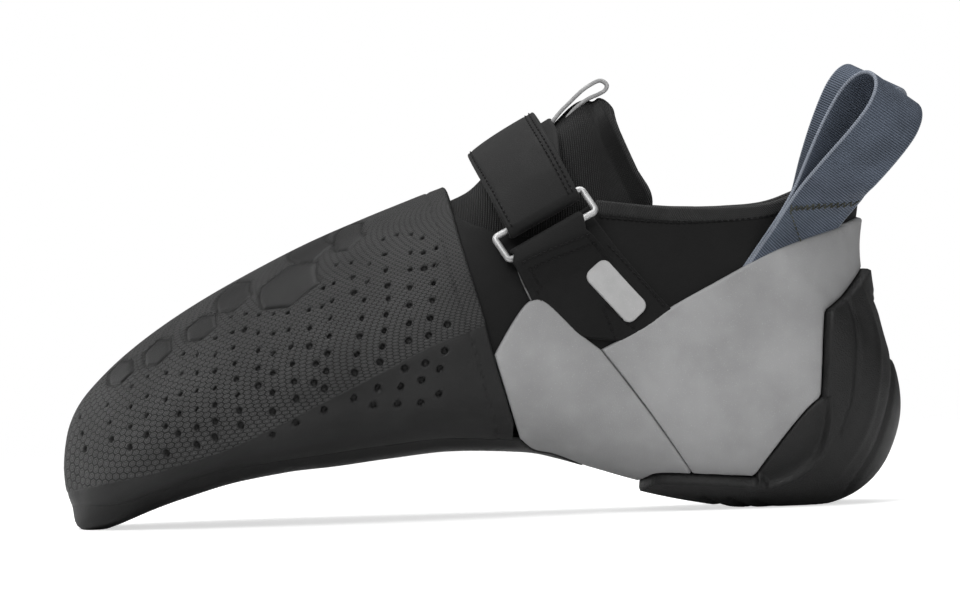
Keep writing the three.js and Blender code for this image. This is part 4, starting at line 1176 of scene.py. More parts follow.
# %% [markdown]
# ## Sole and heel cup
# The outsole is thicker underfoot than at its edge. The heel cup is one thick moulding with a sunk
# triangle on each side, and a few curved ribs that let the rubber flex. Both are panels whose
# thickness is a formula. Where they stand on the floor they are cut flat.

# %% Outsole
sole_zone = surface_distance(outline(SOLE_EDGE, FRONT_RAND_LOW, (0.69, 0.05), (0.69, -0.3),
                                     (-0.02, -0.3)))
SOLE_EDGE_WIDTH = 7  # over which the sole grows from its flush edge to its full thickness


def sole_height(params):
    station = params[:, 0]
    underfoot = mix(SOLE_THICKNESS, ARCH_THICKNESS, smooth((station - 11.5) / 2.5))
    inward = np.minimum(smooth(sole_zone(params) / SOLE_EDGE_WIDTH), smooth((station - 1) / 2.6))
    return OVER_UPPER + GAP + mix(PATCH_THICKNESS - SMOOTH_STEP, underfoot, inward)


def stand_flat(piece):
    """Press what would reach under the floor up to it."""
    low = 0
    for vertex in piece.data.vertices:
        if vertex.co.z < 0:
            vertex.co.z = 0
            low += 1
    print(piece.name, "has", low, "points flat on the floor")
    return piece


place(stand_flat(panel("outsole", sole_zone, OVER_UPPER, sole_height,
                       (0, 18), WHOLE, 1.2, edge=0.16)), sole_rubber, "sole_rubber", "outsole")

# %% Heel cup
recess_zone = surface_distance(outline(back(CUP_RIDGE), (0.7, 0.36)))
# curved grooves and ribs: a line in the side view, its half width and its height in mm
CUP_LINES = [
    ([(0.925, 0.62), (0.936, 0.5), (0.934, 0.36), (0.92, 0.24)], 1.0, -1.0),
    ([(0.942, 0.64), (0.957, 0.5), (0.956, 0.35), (0.94, 0.22), (0.91, 0.11)], 1.1, 0.45),
    ([(0.955, 0.62), (0.972, 0.48), (0.971, 0.33), (0.953, 0.19), (0.925, 0.08)], 1.0, -0.9),
    ([(0.9, 0.345), (0.907, 0.29), (0.904, 0.235), (0.895, 0.178), (0.88, 0.142), (0.858, 0.116),
      (0.835, 0.104), (0.815, 0.102)], 1.1, 0.7),
    ([(0.763, 0.085), (0.782, 0.058), (0.806, 0.036)], 0.8, -0.7),
    ([(0.792, 0.078), (0.814, 0.05), (0.838, 0.034)], 0.8, -0.7),
    ([(0.822, 0.07), (0.843, 0.046), (0.866, 0.036)], 0.8, -0.6),
]
cup_lines = [(line_distance(line), width, height) for line, width, height in CUP_LINES]


def cup_height(params):
    sunk = smooth(recess_zone(params) / 1.2 + 0.5)
    height = mix(CUP_THICKNESS, CUP_RECESS_THICKNESS, sunk)
    for distance, width, change in cup_lines:
        height = height + change * np.exp(-(distance(params) / width) ** 2)
    return OVER_UPPER + GAP + height


place(stand_flat(panel("heel_cup", surface_distance(cup_outline), OVER_UPPER, cup_height,
                       (14, LAST_END), WHOLE, 1.0, edge=1.0,
                       levels=[(recess_zone, (-0.6, 0, 0.6))])),
      cup_rubber, "sole_rubber", "heel_cup")

# %% [markdown]
# ## Inside the shoe
# The insole board closes the upper underneath, and the tongue lies under the strap: a pad of foam
# between two layers of ribbed stretch mesh, so its edges are soft and round.

# %% Insole and tongue
insole_outline = outline(INSOLE_EDGE, (1.05, -0.1), (-0.02, -0.1))
insole_over = -UPPER_WALL - GAP + 0.15
place(panel("insole", surface_distance(insole_outline), insole_over - INSOLE_THICKNESS,
            insole_over, (0, LAST_END), WHOLE, 2.4, edge=1.0),
      lining_cloth, "insole_board", "insole")

TONGUE_SWELL = 2.6  # behind the strap
# within this many mm of the rear edge the mesh is painted darker: partly a dark binding, partly
# painted shade where the edge turns away from the light
TONGUE_HEM_AND_SHADE = 6
tongue_outline = outline(TONGUE_EDGE, TONGUE_FOOT, (0.436, 1.5), (0.664, 1.5))
tongue_zone = surface_distance(tongue_outline)
tongue_edge_distance = line_distance(TONGUE_EDGE[:-1])


def tongue_height(params):
    station, around = params.T
    throat = smooth(station - 12) * smooth((np.abs(around) - 0.76) / 0.14)
    behind_strap = np.exp(-((station - 15.6) / 0.9) ** 2) * smooth((np.abs(around) - 0.86) / 0.14)
    return mix(-UPPER_WALL - 0.2, -GAP, throat) + TONGUE_SWELL * behind_strap


tongue_piece = panel("tongue", tongue_zone, -UPPER_WALL - GAP - TONGUE_THICKNESS,
                     tongue_height, (10, LAST_END), WHOLE, 1.2, edge=1.6, soft_back=True,
                     masks=[("hem_and_shade", lambda p: smooth(TONGUE_HEM_AND_SHADE - tongue_edge_distance(p)))])
place(tongue_piece, tongue_mesh, "stretch_mesh", "tongue")

# %% [markdown]
# ## Strips
# The strap, the loops and the piping are strips of cloth: one flat section with round edges, swept
# along a line. The strap's strip follows the last. The others have lines of their own.

# %% Sweeping a section
def strip_section(width, thickness, steps):
    """The closed line round a flat strip, as places across it and through it in mm."""
    radius = 0.45 * thickness
    flat = width / 2 - radius
    turn = np.radians([90, 60, 30, 0, 0, -30, -60, -90])
    level = np.repeat([1, -1], 4) * (thickness / 2 - radius)
    across = np.concatenate([flat + radius * np.cos(turn), np.linspace(flat, -flat, steps + 1)[1:-1]])
    through = np.concatenate([level + radius * np.sin(turn), np.full(steps - 1, -thickness / 2)])
    return np.concatenate([across, -across]), np.concatenate([through, -through])


def sweep(name, rings, uv, closed=False):
    """Join rings of points to one closed piece. It has flat ends, or closes on itself."""
    rows, count = rings.shape[:2]
    index = np.arange(rows * count).reshape(rows, count)
    here, ahead = (index, np.roll(index, -1, 0)) if closed else (index[:-1], index[1:])
    beside = (np.roll(here, -1, 1), np.roll(ahead, -1, 1))
    faces = np.stack([here, beside[0], beside[1], ahead], -1).reshape(-1, 4).tolist()
    if not closed:
        faces += [index[0][::-1].tolist(), index[-1].tolist()]
    return build_mesh(name, rings.reshape(-1, 3), faces, uv.reshape(-1, 2))


def unit(vector):
    return vector / np.linalg.norm(vector, axis=-1, keepdims=True)


def ring_uv(lengths, across):
    """UV in mm of a strip: along it, and across it."""
    return np.stack(np.broadcast_arrays(np.asarray(lengths)[:, None], across[None]), -1)


def row_lengths(centres):
    steps = np.linalg.norm(np.diff(centres, axis=0), axis=1)
    return np.concatenate([[0], np.cumsum(steps)])


# %% [markdown]
# ## The strap
# The strap comes up from the inner side, crosses the instep, passes through the ring and folds back
# over itself. Its cloth is napped microfibre on both faces. Its band is drawn in the side view
# by a front and a back edge, and a place along it is a round of the last.

# %% The strap's band
STRAP_THICKNESS = 1.6
STRAP_LIFT = 1.1
STRAP_FRONT = np.array([(0.5365, 0.879), (0.511, 1.052)])
STRAP_BACK = np.array([(0.618, 0.989), (0.587, 1.194)])
STRAP_FREE_END = 1.24
STRAP_ROOT = 1.4
BAND_SLANT = 0.042  # how much higher the back edge of the band lies than its front edge
STRAP_STATIONS = (10.5, 19)
RING_BAR = 2
RING_SLOT = 6.4
RING_CLEARANCE = 0.3
RING_MARGIN = 0.9  # between the strap's back edge and the ring
RING_FRONT_MARGIN = 3.3
RING_BEND = 0.62 * RING_BAR
RING_PLACE = 0.705
RING_DISTANCE = STRAP_LIFT + STRAP_THICKNESS + RING_CLEARANCE + RING_BAR / 2


def band_point(across, place_along, distance):
    """Points of the band: across from 0 at its front edge to 1 at its back edge."""
    across, place_along = np.broadcast_arrays(across, place_along)
    ends = mix(STRAP_FRONT[:, None], STRAP_BACK[:, None], across.ravel()[None, :, None])
    start = np.stack([side_x(ends[0, :, 0]), side_z(ends[0, :, 1])], -1)
    run = np.stack([side_x(ends[1, :, 0]), side_z(ends[1, :, 1])], -1) - start
    low = np.full(len(start), float(STRAP_STATIONS[0]))
    high = np.full(len(start), float(STRAP_STATIONS[1]))
    around = -(place_along + BAND_SLANT * (across - 0.5)).ravel()
    for _ in range(30):
        middle = (low + high) / 2
        rel = last_point(middle, around)[:, [0, 2]] - start
        behind = run[:, 0] * rel[:, 1] - run[:, 1] * rel[:, 0] < 0
        high = np.where(behind, middle, high)
        low = np.where(behind, low, middle)
    distance = np.broadcast_to(distance, across.shape).ravel()
    return skin_point((low + high) / 2, around, distance).reshape(*across.shape, 3)


ring_front, ring_back, ring_below, ring_middle = (
    band_point(across, RING_PLACE - drop, RING_DISTANCE)
    for across, drop in ((0, 0), (1, 0), (0.5, 0.06), (0.5, 0)))
strap_width = np.linalg.norm(ring_back - ring_front)
ring_along = unit(ring_back - ring_front)
ring_up = ring_middle - ring_below
ring_up = unit(ring_up - ring_along * (ring_up @ ring_along))
ring_out = np.cross(ring_along, ring_up)
upper_bar = (ring_front + ring_back) / 2
lower_bar = upper_bar - ring_up * (RING_SLOT + RING_BAR)
FOLD_REACH = RING_BAR / 2 + RING_CLEARANCE
print("strap", round(float(strap_width), 1), "mm wide")


def fold_rings(bar, across, through, thickness, angles, upward):
    """Rings of a strip that folds round a bar of the ring, from outside to inside."""
    angles = np.asarray(angles)[:, None, None]
    arm = ring_out * np.cos(angles) + ring_up * upward * np.sin(angles)
    reach = FOLD_REACH + thickness / 2 + through[:, None]
    return bar + ring_along * across[:, None] + arm * reach


# %% [markdown]
# The strip's lower layer is a little wider at the back than the upper one, which shows as a dark
# step. The sewn rows draw the cloth in along both edges, and the cloth swells a little between.

# %% Strap
FOLD_START = RING_PLACE + 0.045
LAYER_STEP = 3.6
STITCH_INSET = 1.5
SECOND_INSET = 2.9
SEAM_PULL, SEAM_REACH, CLOTH_SWELL = 0.22, 0.45, 0.25
STRAP_CORNER = 8  # radius of the free end's corners


def sewn_in(across, width):
    """How far the sewn rows pull the strap's face in, in mm."""
    edges = (-width / 2 + STITCH_INSET, width / 2 - STITCH_INSET, width / 2 - SECOND_INSET)
    drawn = sum(np.exp(-((across - edge) / SEAM_REACH) ** 2) for edge in edges)
    return SEAM_PULL * drawn - CLOTH_SWELL * np.cos(across / width * math.pi)


def strap_rings():
    across, through = strip_section(strap_width, STRAP_THICKNESS, 40)
    share = across / strap_width + 0.5
    outward = np.where(through > 0, sewn_in(across, strap_width), 0)
    up = np.linspace(STRAP_FREE_END, FOLD_START, 46)[:, None]
    from_end = np.linalg.norm(band_point(0.5, up, 0) - band_point(0.5, STRAP_FREE_END, 0), axis=2)
    short_of = np.maximum(STRAP_CORNER - from_end, 0)
    inset = STRAP_CORNER - np.sqrt(np.maximum(STRAP_CORNER ** 2 - short_of ** 2, 0))
    share_up = 0.5 + (share - 0.5) * (1 - 2 * inset / strap_width)
    middle = RING_DISTANCE + FOLD_REACH + STRAP_THICKNESS / 2
    upper_layer = band_point(share_up, up, middle + through - outward)
    fold = fold_rings(upper_bar, across, through, STRAP_THICKNESS,
                      np.linspace(0, math.pi, 15), -1)
    down = np.linspace(FOLD_START, STRAP_ROOT, 46)[:, None]
    wider = 1 + LAYER_STEP / strap_width * smooth((down - FOLD_START) / 0.12)
    share_down = np.where(share > 0.5, 0.5 + (share - 0.5) * (2 * wider - 1), share)
    middle = RING_DISTANCE - FOLD_REACH - STRAP_THICKNESS / 2
    lower_layer = band_point(share_down, down, middle - through)
    return np.concatenate([upper_layer, fold, lower_layer]), across


rings, across = strap_rings()
strap = sweep("strap", rings, ring_uv(row_lengths(rings[:, 5]), across))
place(strap, strap_cloth, "microfibre", "strap")

# %% [markdown]
# ## The ring
# The ring is one bent wire of 2 mm, welded closed. Geometry Nodes can bend it from its named sizes:
# a rectangle curve, rounded at its corners, with a circle swept along it.

# %% Ring
def new_geometry_tree(name, inputs):
    """An empty geometry node tree with named inputs, and its group input and output nodes."""
    tree = bpy.data.node_groups.new(name, "GeometryNodeTree")
    for label, socket_type in inputs.items():
        tree.interface.new_socket(name=label, in_out="INPUT", socket_type=socket_type)
    tree.interface.new_socket(name="Geometry", in_out="OUTPUT", socket_type="NodeSocketGeometry")
    return tree, tree.nodes.new("NodeGroupInput"), tree.nodes.new("NodeGroupOutput")


def grow(name, tree, source, values):
    """Run a geometry node tree on a source mesh and return what it makes as a plain piece."""
    base = bpy.data.objects.new(name, source)
    bpy.context.scene.collection.objects.link(base)
    modifier = base.modifiers.new("grow", "NODES")
    modifier.node_group = tree
    sockets = {item.name: item.identifier for item in tree.interface.items_tree
               if item.in_out == "INPUT"}
    for label, value in values.items():
        modifier[sockets[label]] = value
    evaluated = base.evaluated_get(bpy.context.evaluated_depsgraph_get())
    mesh = bpy.data.meshes.new_from_object(evaluated)
    mesh.name = name
    bpy.data.objects.remove(base)
    return finished_piece(name, mesh, doubles=1e-6)


def ring_tree():
    tree, given, out = new_geometry_tree("Wire ring", {
        "Geometry": "NodeSocketGeometry", "Length": "NodeSocketFloat", "Height": "NodeSocketFloat",
        "Bend": "NodeSocketFloat", "Wire radius": "NodeSocketFloat",
        "Material": "NodeSocketMaterial",
    })
    frame_line = add_node(tree, "GeometryNodeCurvePrimitiveQuadrilateral", {
        "Width": given.outputs["Length"], "Height": given.outputs["Height"],
    })
    rounded = add_node(tree, "GeometryNodeFilletCurve", {
        "Curve": frame_line.outputs["Curve"], "Radius": given.outputs["Bend"], "Count": 8,
    }, mode="POLY")
    wire = add_node(tree, "GeometryNodeCurvePrimitiveCircle", {
        "Resolution": 16, "Radius": given.outputs["Wire radius"],
    })
    swept = add_node(tree, "GeometryNodeCurveToMesh", {
        "Curve": rounded.outputs["Curve"], "Profile Curve": wire.outputs["Curve"],
    })
    finished = add_node(tree, "GeometryNodeSetMaterial", {
        "Geometry": swept.outputs["Mesh"], "Material": given.outputs["Material"],
    })
    tree.links.new(finished.outputs["Geometry"], out.inputs["Geometry"])
    return tree


ring_length = strap_width + RING_MARGIN + RING_FRONT_MARGIN + RING_BAR
ring_centre = (upper_bar + lower_bar) / 2 + ring_along * (RING_MARGIN - RING_FRONT_MARGIN) / 2
ring = grow("ring", ring_tree(), bpy.data.meshes.new("ring line"), {
    "Length": float(ring_length) * MM, "Height": (RING_SLOT + RING_BAR) * MM,
    "Bend": RING_BEND * MM, "Wire radius": RING_BAR / 2 * MM, "Material": ring_metal,
})
ring_axes = Matrix(np.stack([ring_along, ring_up, ring_out], 1).tolist()).to_4x4()
ring.data.transform(Matrix.Translation(Vector(ring_centre) * MM) @ ring_axes)
place(ring, None, "ring_metal", "ring")

# %% [markdown]
# ## The anchor and its badge
# The anchor is a sewn panel of the same microfibre. Its upper end goes round the ring's lower bar
# and is stitched down, so the ring is trapped. The badge is a plain soft plate with round corners.

# %% Anchor
ANCHOR_THICKNESS = 1.3
ANCHOR_TOP = OVER_UPPER + GAP + ANCHOR_THICKNESS
BADGE_THICKNESS = 0.8
BADGE_WIDTH = 8.5
BADGE_CORNER = 2.6
BADGE_AXIS = np.array([(0.638, 0.752), (0.69, 0.599)])
ANCHOR_SEAMS = [
    [(0.658, 0.81), (0.684, 0.735), (0.719, 0.628)],
    [(0.569, 0.70), (0.575, 0.66)],
]
anchor_line = outline(ANCHOR_BACK, back(ANCHOR_FRONT))
anchor_seam_distances = [line_distance(seam) for seam in ANCHOR_SEAMS]


def anchor_height(params):
    height = np.full(len(params), ANCHOR_TOP)
    for distance in anchor_seam_distances:
        height = height + groove(distance(params), 0.5, 0.16)
    return height


place(panel("anchor", surface_distance(anchor_line, -1), OVER_UPPER, anchor_height, (11, 19),
            OUTER, 0.9, edge=0.5), microfibre, "microfibre", "anchor")

across, through = strip_section(strap_width, ANCHOR_THICKNESS, 24)
share = across / strap_width + 0.5
SEAM_PLACE = RING_PLACE - 0.116  # where the flap meets the panel
LEAVE_PLACE = RING_PLACE - 0.06  # where it leaves the ring's bar
FOLD_SHIFT = -0.11  # towards the ring's front leg, as a share of the flap's width
FLAP_SHIFT, FLAP_SPREAD = 0.08, 0.2  # as shares of its width, where it meets the panel
start_middle = ANCHOR_TOP - ANCHOR_THICKNESS / 2 - 0.25
end_middle = RING_DISTANCE + FOLD_REACH + ANCHOR_THICKNESS / 2


def flap_point(share, climb, through):
    """Points of the anchor's flap, which climbs from the panel (0) to the ring's bar (1)."""
    aside = FOLD_SHIFT + (1 - climb) * (FLAP_SHIFT + FLAP_SPREAD * share)
    height = mix(start_middle, end_middle, smooth(climb))
    return band_point(share + aside, mix(SEAM_PLACE, LEAVE_PLACE, climb), height + through)


rise = flap_point(share, np.linspace(0, 1, 20)[:, None], through)
folded_at = lower_bar + ring_along * FOLD_SHIFT * strap_width
fold = fold_rings(folded_at, across, through, ANCHOR_THICKNESS, np.linspace(0.1, math.pi, 14), 1)
rings = np.concatenate([rise, fold])
place(sweep("anchor_fold", rings, ring_uv(row_lengths(rings[:, 5]), across)),
      microfibre, "microfibre")

# %% Badge
def rounded_plate(axis, width, corner):
    """The outline of a plate with round corners, along an axis in the side view."""
    ends = np.stack([side_x(axis[:, 0]), side_z(axis[:, 1])], -1)
    along = unit(ends[1] - ends[0])
    beside = np.array([-along[1], along[0]])
    half_long = np.linalg.norm(ends[1] - ends[0]) / 2 - corner
    half_wide = width / 2 - corner
    line = []
    for quarter, (x, y) in enumerate(((1, 1), (-1, 1), (-1, -1), (1, -1))):
        for angle in np.linspace(0, math.pi / 2, 9) + quarter * math.pi / 2:
            line.append(ends.mean(0) + along * (x * half_long + corner * math.cos(angle))
                        + beside * (y * half_wide + corner * math.sin(angle)))
    return np.array(line)


badge_line = rounded_plate(BADGE_AXIS, BADGE_WIDTH, BADGE_CORNER)
place(panel("badge", surface_distance(badge_line, -1), ANCHOR_TOP - 0.2, ANCHOR_TOP + GAP
            + BADGE_THICKNESS - 0.3, (12, 18), OUTER, 0.6, edge=0.35),
      badge_plate, "badge_plate", "badge")

# %% [markdown]
# ## The pull loops
# Each pull loop is 20 mm webbing, folded double and sewn to the upper under the rear rand. The two
# legs lie together at the root and bow apart towards the top.

# %% Pull loops
WEBBING_WIDTH = 20
WEBBING_THICKNESS = 1.2
PULL_LOOP_LENGTH = 56
PULL_LOOP_OPENING = 16
LOOP_ROOT = {"outer": (0.869, 0.79), "inner": (0.885, 0.79)}
LOOP_LEAN = {"outer": 35.5, "inner": 28}
LOOP_WIDTH_DIRECTION = (0.76, 0.5, -0.41)
# how high, and how far apart, as shares of length and half opening
LOOP_FOLD = np.array([(-0.3, 0), (-0.15, 0), (0, 0), (0.14, 0), (0.28, 0.1), (0.45, 0.42),
                      (0.62, 0.78), (0.76, 0.98), (0.86, 1), (0.94, 0.78), (0.985, 0.4), (1, 0)])
ROOT_THICKNESS = 1.3  # of both legs together, pressed under the rand
ROOT_END = 0.2  # share of the length up to which the stitches reach
ROOT_REACH = 9  # how far above the rand's edge the loop leaves the upper
ROOT_TURN = math.radians(28)  # how far the root follows the curve of the heel
rand_edge = curve(REAR_RAND_TOP)


def pull_loop(name, side, root, lean):
    station, around = find_places(chart_points([root]), side)[0]
    base = last_point(station, around)
    root_out = skin_normal(station, around)
    lean = math.radians(lean)
    axis = np.array([math.sin(lean), 0, math.cos(lean)])
    root_width = unit(np.cross(root_out, axis))
    root_width = root_width * np.sign(root_width[0])
    root_width = root_width * math.cos(ROOT_TURN) - root_out * math.sin(ROOT_TURN)
    top_width = np.array(LOOP_WIDTH_DIRECTION) * (1, -side, 1)
    top_width = unit(top_width - axis * (top_width @ axis))
    half = WEBBING_THICKNESS / 2
    gap_out = (half - 0.05) / (PULL_LOOP_OPENING / 2)
    outer_leg = LOOP_FOLD + (0, gap_out) * (LOOP_FOLD[:, :1] < 1)
    line = np.concatenate([outer_leg, (outer_leg * (1, -1))[::-1][1:]])
    at = np.linspace(0, len(line) - 1, 6 * (len(line) - 1) + 1)
    start = np.minimum(at.astype(int), len(line) - 2)
    line = catmull_rom((at - start)[:, None],
                       *(line[np.clip(start + k, 0, len(line) - 1)] for k in (-1, 0, 1, 2)))
    along, out = line.T
    width = unit(mix(root_width, top_width, smooth(along / 0.6)[:, None]))
    outward = unit(np.cross(width, axis))
    outward = outward * np.sign(outward[:, 1:2] * side)
    centre = (base + root_out * (GAP + WEBBING_THICKNESS) + axis * along[:, None] * PULL_LOOP_LENGTH
              + outward * out[:, None] * PULL_LOOP_OPENING / 2)
    tangent = unit(np.gradient(centre, axis=0))
    normal = unit(np.cross(tangent, width))
    across, through = strip_section(WEBBING_WIDTH, WEBBING_THICKNESS, 12)
    rings = centre[:, None] + width[:, None] * across[:, None] + normal[:, None] * through[:, None]
    seen = rings[..., [0, 2]]
    above = seen[..., 1] - np.interp(seen[..., 0], *rand_edge.T)
    sewn = above.min(1) < ROOT_REACH
    leg = np.where(np.arange(len(along)) <= along.argmax(), 1, -1)
    layer = leg[:, None] * (0.25 + 0.25 * through * side / half) + 0.5
    found = find_places(seen[sewn].reshape(-1, 2), side)
    laid = skin_point(*found.T, OVER_UPPER + ROOT_THICKNESS * layer[sewn].ravel())
    free = smooth(above[sewn] / ROOT_REACH)[..., None]
    rings[sewn] = mix(laid.reshape(rings[sewn].shape), rings[sewn], free)
    place(sweep(name, rings, ring_uv(row_lengths(centre), across)), webbing, "webbing", name)
    face = np.flatnonzero(through * side > 0.99 * WEBBING_THICKNESS / 2)
    face = face[across[face].argsort()]
    rows = slice(0, along.argmax() + 1)
    cloth = outward[np.argmax(along > ROOT_END)]
    return rings[rows][:, face], along[rows] * PULL_LOOP_LENGTH, across[face], cloth


loop_faces = [pull_loop("pull_loop_" + side_name, side, LOOP_ROOT[side_name], LOOP_LEAN[side_name])
              for side_name, side in (("outer", -1), ("inner", 1))]

# %% [markdown]
# ## The tongue's loop
# A strip of pale tape, 1.2 mm thick, is sewn along the tongue's ridge and turns back on itself.

# %% Tongue loop
TAB_WIDTH = 9
TAB_THICKNESS = 1.2
TAB_PATH = [(0.592, 1.178), (0.6, 1.2), (0.6095, 1.228), (0.6215, 1.257), (0.636, 1.29),
            (0.65, 1.312), (0.659, 1.318), (0.6655, 1.305), (0.6635, 1.289), (0.6555, 1.277),
            (0.643, 1.264), (0.63, 1.243), (0.62, 1.218), (0.614, 1.195)]
path = curve(TAB_PATH)
along = unit(np.gradient(path, axis=0))
normal = np.stack([-along[:, 1], np.zeros(len(path)), along[:, 0]], -1)
across, through = strip_section(TAB_WIDTH, TAB_THICKNESS, 8)
centre = np.stack([path[:, 0], np.zeros(len(path)), path[:, 1]], -1)
rings = (centre[:, None] + np.array([0, 1, 0]) * across[:, None] + normal[:, None] * through[:, None])
place(sweep("tongue_loop", rings, ring_uv(row_lengths(centre), across)),
      pale_tape, "pale_trim", "tongue_loop")

# %% [markdown]
# ## Stitches
# A sewing machine lays one short thread loop after another along a seam. Geometry Nodes repeats
# them: the seam is a line of points on the cloth that carry the cloth's direction, the tree puts
# one small rounded thread at each step and turns it along the line. Its inputs are the step, the
# thread and its material, so one tree sews every seam of the shoe.

# %% One thread and the sewing tree
def thread_mesh():
    """A short thread that dives into the cloth at both ends, 1 long and lying along X."""
    bow = [(-0.5, -0.9), (-0.42, 0.1), (-0.18, 0.75), (0.18, 0.75), (0.42, 0.1), (0.5, -0.9)]
    radii = [0.5, 0.95, 1, 1, 0.95, 0.5]
    points = []
    for (along, up), radius in zip(bow, radii):
        for k in range(5):
            turn = 2 * math.pi * k / 5
            points.append((along, radius * math.cos(turn), up + radius * math.sin(turn)))
    faces = [(i * 5 + k, i * 5 + (k + 1) % 5, (i + 1) * 5 + (k + 1) % 5, (i + 1) * 5 + k)
             for i in range(5) for k in range(5)]
    faces += [tuple(range(5))[::-1], tuple(range(25, 30))]
    mesh = bpy.data.meshes.new("thread")
    mesh.from_pydata(points, [], faces)
    mesh.shade_smooth()
    return mesh


def sewing_tree():
    tree, given, out = new_geometry_tree("Sewing", {
        "Geometry": "NodeSocketGeometry", "Thread": "NodeSocketObject", "Step": "NodeSocketFloat",
        "Length": "NodeSocketFloat", "Radius": "NodeSocketFloat", "Seed": "NodeSocketInt",
        "Material": "NodeSocketMaterial",
    })
    line = add_node(tree, "GeometryNodeMeshToCurve", {"Mesh": given.outputs["Geometry"]})
    holes = add_node(tree, "GeometryNodeResampleCurve", {
        "Curve": line.outputs["Curve"], "Length": given.outputs["Step"]}, mode="LENGTH")
    along = add_node(tree, "GeometryNodeInputTangent").outputs["Tangent"]
    cloth = add_node(tree, "GeometryNodeInputNamedAttribute", {"Name": "cloth"},
                     data_type="FLOAT_VECTOR").outputs["Attribute"]
    lying = add_node(tree, "FunctionNodeAlignRotationToVector", {"Vector": along}, axis="X")
    turned = add_node(tree, "FunctionNodeAlignRotationToVector", {
        "Rotation": lying.outputs["Rotation"], "Vector": cloth}, axis="Z", pivot_axis="X")
    loose = add_node(tree, "FunctionNodeRandomValue", {
        "Min": (0.9, 0.9, 0.9), "Max": (1.05, 1.1, 1.1), "Seed": given.outputs["Seed"],
    }, data_type="FLOAT_VECTOR").outputs["Value"]
    size = add_node(tree, "ShaderNodeCombineXYZ", {
        "X": given.outputs["Length"], "Y": given.outputs["Radius"], "Z": given.outputs["Radius"]})
    scale = calculate_vector(tree, "MULTIPLY", size.outputs["Vector"], loose)
    thread = add_node(tree, "GeometryNodeObjectInfo", {"Object": given.outputs["Thread"]})
    sewn = add_node(tree, "GeometryNodeInstanceOnPoints", {
        "Points": holes.outputs["Curve"], "Instance": thread.outputs["Geometry"],
        "Rotation": turned.outputs["Rotation"], "Scale": scale})
    real = add_node(tree, "GeometryNodeRealizeInstances", {"Geometry": sewn.outputs["Instances"]})
    finished = add_node(tree, "GeometryNodeSetMaterial", {
        "Geometry": real.outputs["Geometry"], "Material": given.outputs["Material"]})
    tree.links.new(finished.outputs["Geometry"], out.inputs["Geometry"])
    return tree


thread = bpy.data.objects.new("thread", thread_mesh())
sewing = sewing_tree()
THREAD_STEP, THREAD_LENGTH, THREAD_RADIUS = 1.75, 1.35, 0.24


def seam_mesh(lines):
    """A mesh of open lines. Each is a pair of points and directions of the cloth, in mm."""
    mesh = bpy.data.meshes.new("seams")
    points = np.concatenate([line for line, _ in lines])
    ends = np.cumsum([len(line) for line, _ in lines])
    edges = [(i, i + 1) for i in range(len(points) - 1) if i + 1 not in ends]
    mesh.from_pydata((points * MM).tolist(), edges, [])
    cloth = np.concatenate([normal for _, normal in lines])
    mesh.attributes.new("cloth", "FLOAT_VECTOR", "POINT").data.foreach_set(
        "vector", cloth.astype(np.float32).ravel())
    return mesh


def sew(name, lines, material, slot, step=THREAD_STEP, length=THREAD_LENGTH):
    piece = grow(name, sewing, seam_mesh(lines), {
        "Thread": thread, "Step": step * MM, "Length": length * MM,
        "Radius": THREAD_RADIUS * MM, "Seed": 3, "Material": material,
    })
    return place(piece, None, slot)


# %% [markdown]
# A seam on a panel is charted in the side view and laid on the last, as high as the panel's face.

# %% Lines of the seams
def seam_on_last(stretch, height, side=-1):
    """A seam charted in the side view, laid on the outer or inner side at a height in mm."""
    found = find_places(curve(stretch), side)
    return skin_point(*found.T, height), skin_normal(*found.T)


def seam_on_strap(across_mm, places_along, height):
    share = across_mm / strap_width + 0.5
    line = band_point(share, places_along, height)
    above = unit(band_point(share, places_along, height + 1) - line)
    start = upper_bar + ring_along * across_mm + ring_out * (FOLD_REACH + STRAP_THICKNESS)
    return np.concatenate([[start], line]), np.concatenate([[ring_out], above])


upper_strap_face = RING_DISTANCE + FOLD_REACH + STRAP_THICKNESS
strap_places = np.linspace(FOLD_START, STRAP_FREE_END - 0.07, 60)
strap_seams = []
for across_mm in (-strap_width / 2 + STITCH_INSET, strap_width / 2 - STITCH_INSET,
                  strap_width / 2 - SECOND_INSET):
    strap_seams.append(seam_on_strap(across_mm, strap_places, upper_strap_face - 0.08))
sew("strap_stitches", strap_seams, black_thread, "microfibre")


def seam_on_flap(shares, climbs):
    """A seam on the anchor's flap, from shares of its width and of its climb."""
    shares, climbs = (np.linspace(*pair, 30) for pair in (shares, climbs))
    line = flap_point(shares, climbs, ANCHOR_THICKNESS / 2)
    return line, unit(flap_point(shares, climbs, ANCHOR_THICKNESS / 2 + 1) - line)


FLAP_SEAMS = [
    ((0.12, 0.95), (0.86, 0.86)), ((0.14, 0.93), (0.63, 0.63)),
    ((0.14, 0.14), (0.6, 0.1)), ((0.93, 0.93), (0.83, 0.1)),
]
FORK_SEAMS = [
    [(0.648, 0.622), (0.655, 0.575), (0.66, 0.54)],
    [(0.652, 0.632), (0.666, 0.6), (0.682, 0.566)],
]
anchor_seams = [seam_on_last(seam, ANCHOR_TOP - 0.12) for seam in ANCHOR_SEAMS]
anchor_seams += [seam_on_flap(*ends) for ends in FLAP_SEAMS]
anchor_seams += [seam_on_last(seam, ANCHOR_TOP) for seam in FORK_SEAMS]
sew("anchor_stitches", anchor_seams, black_thread, "microfibre")

COLLAR_SEAM = [(0.652, 0.901), (0.711, 0.883), (0.759, 0.876), (0.842, 0.886), (0.87, 0.911)]
sew("collar_stitches", [seam_on_last(COLLAR_SEAM, 0.1, side) for side in (-1, 1)],
    black_thread, "microfibre")

# %% [markdown]
# The pull loops are tacked with a dense olive zigzag where their legs part, and one plain row runs
# down from it. The lines are charted on the webbing itself: along it and across it, in mm.

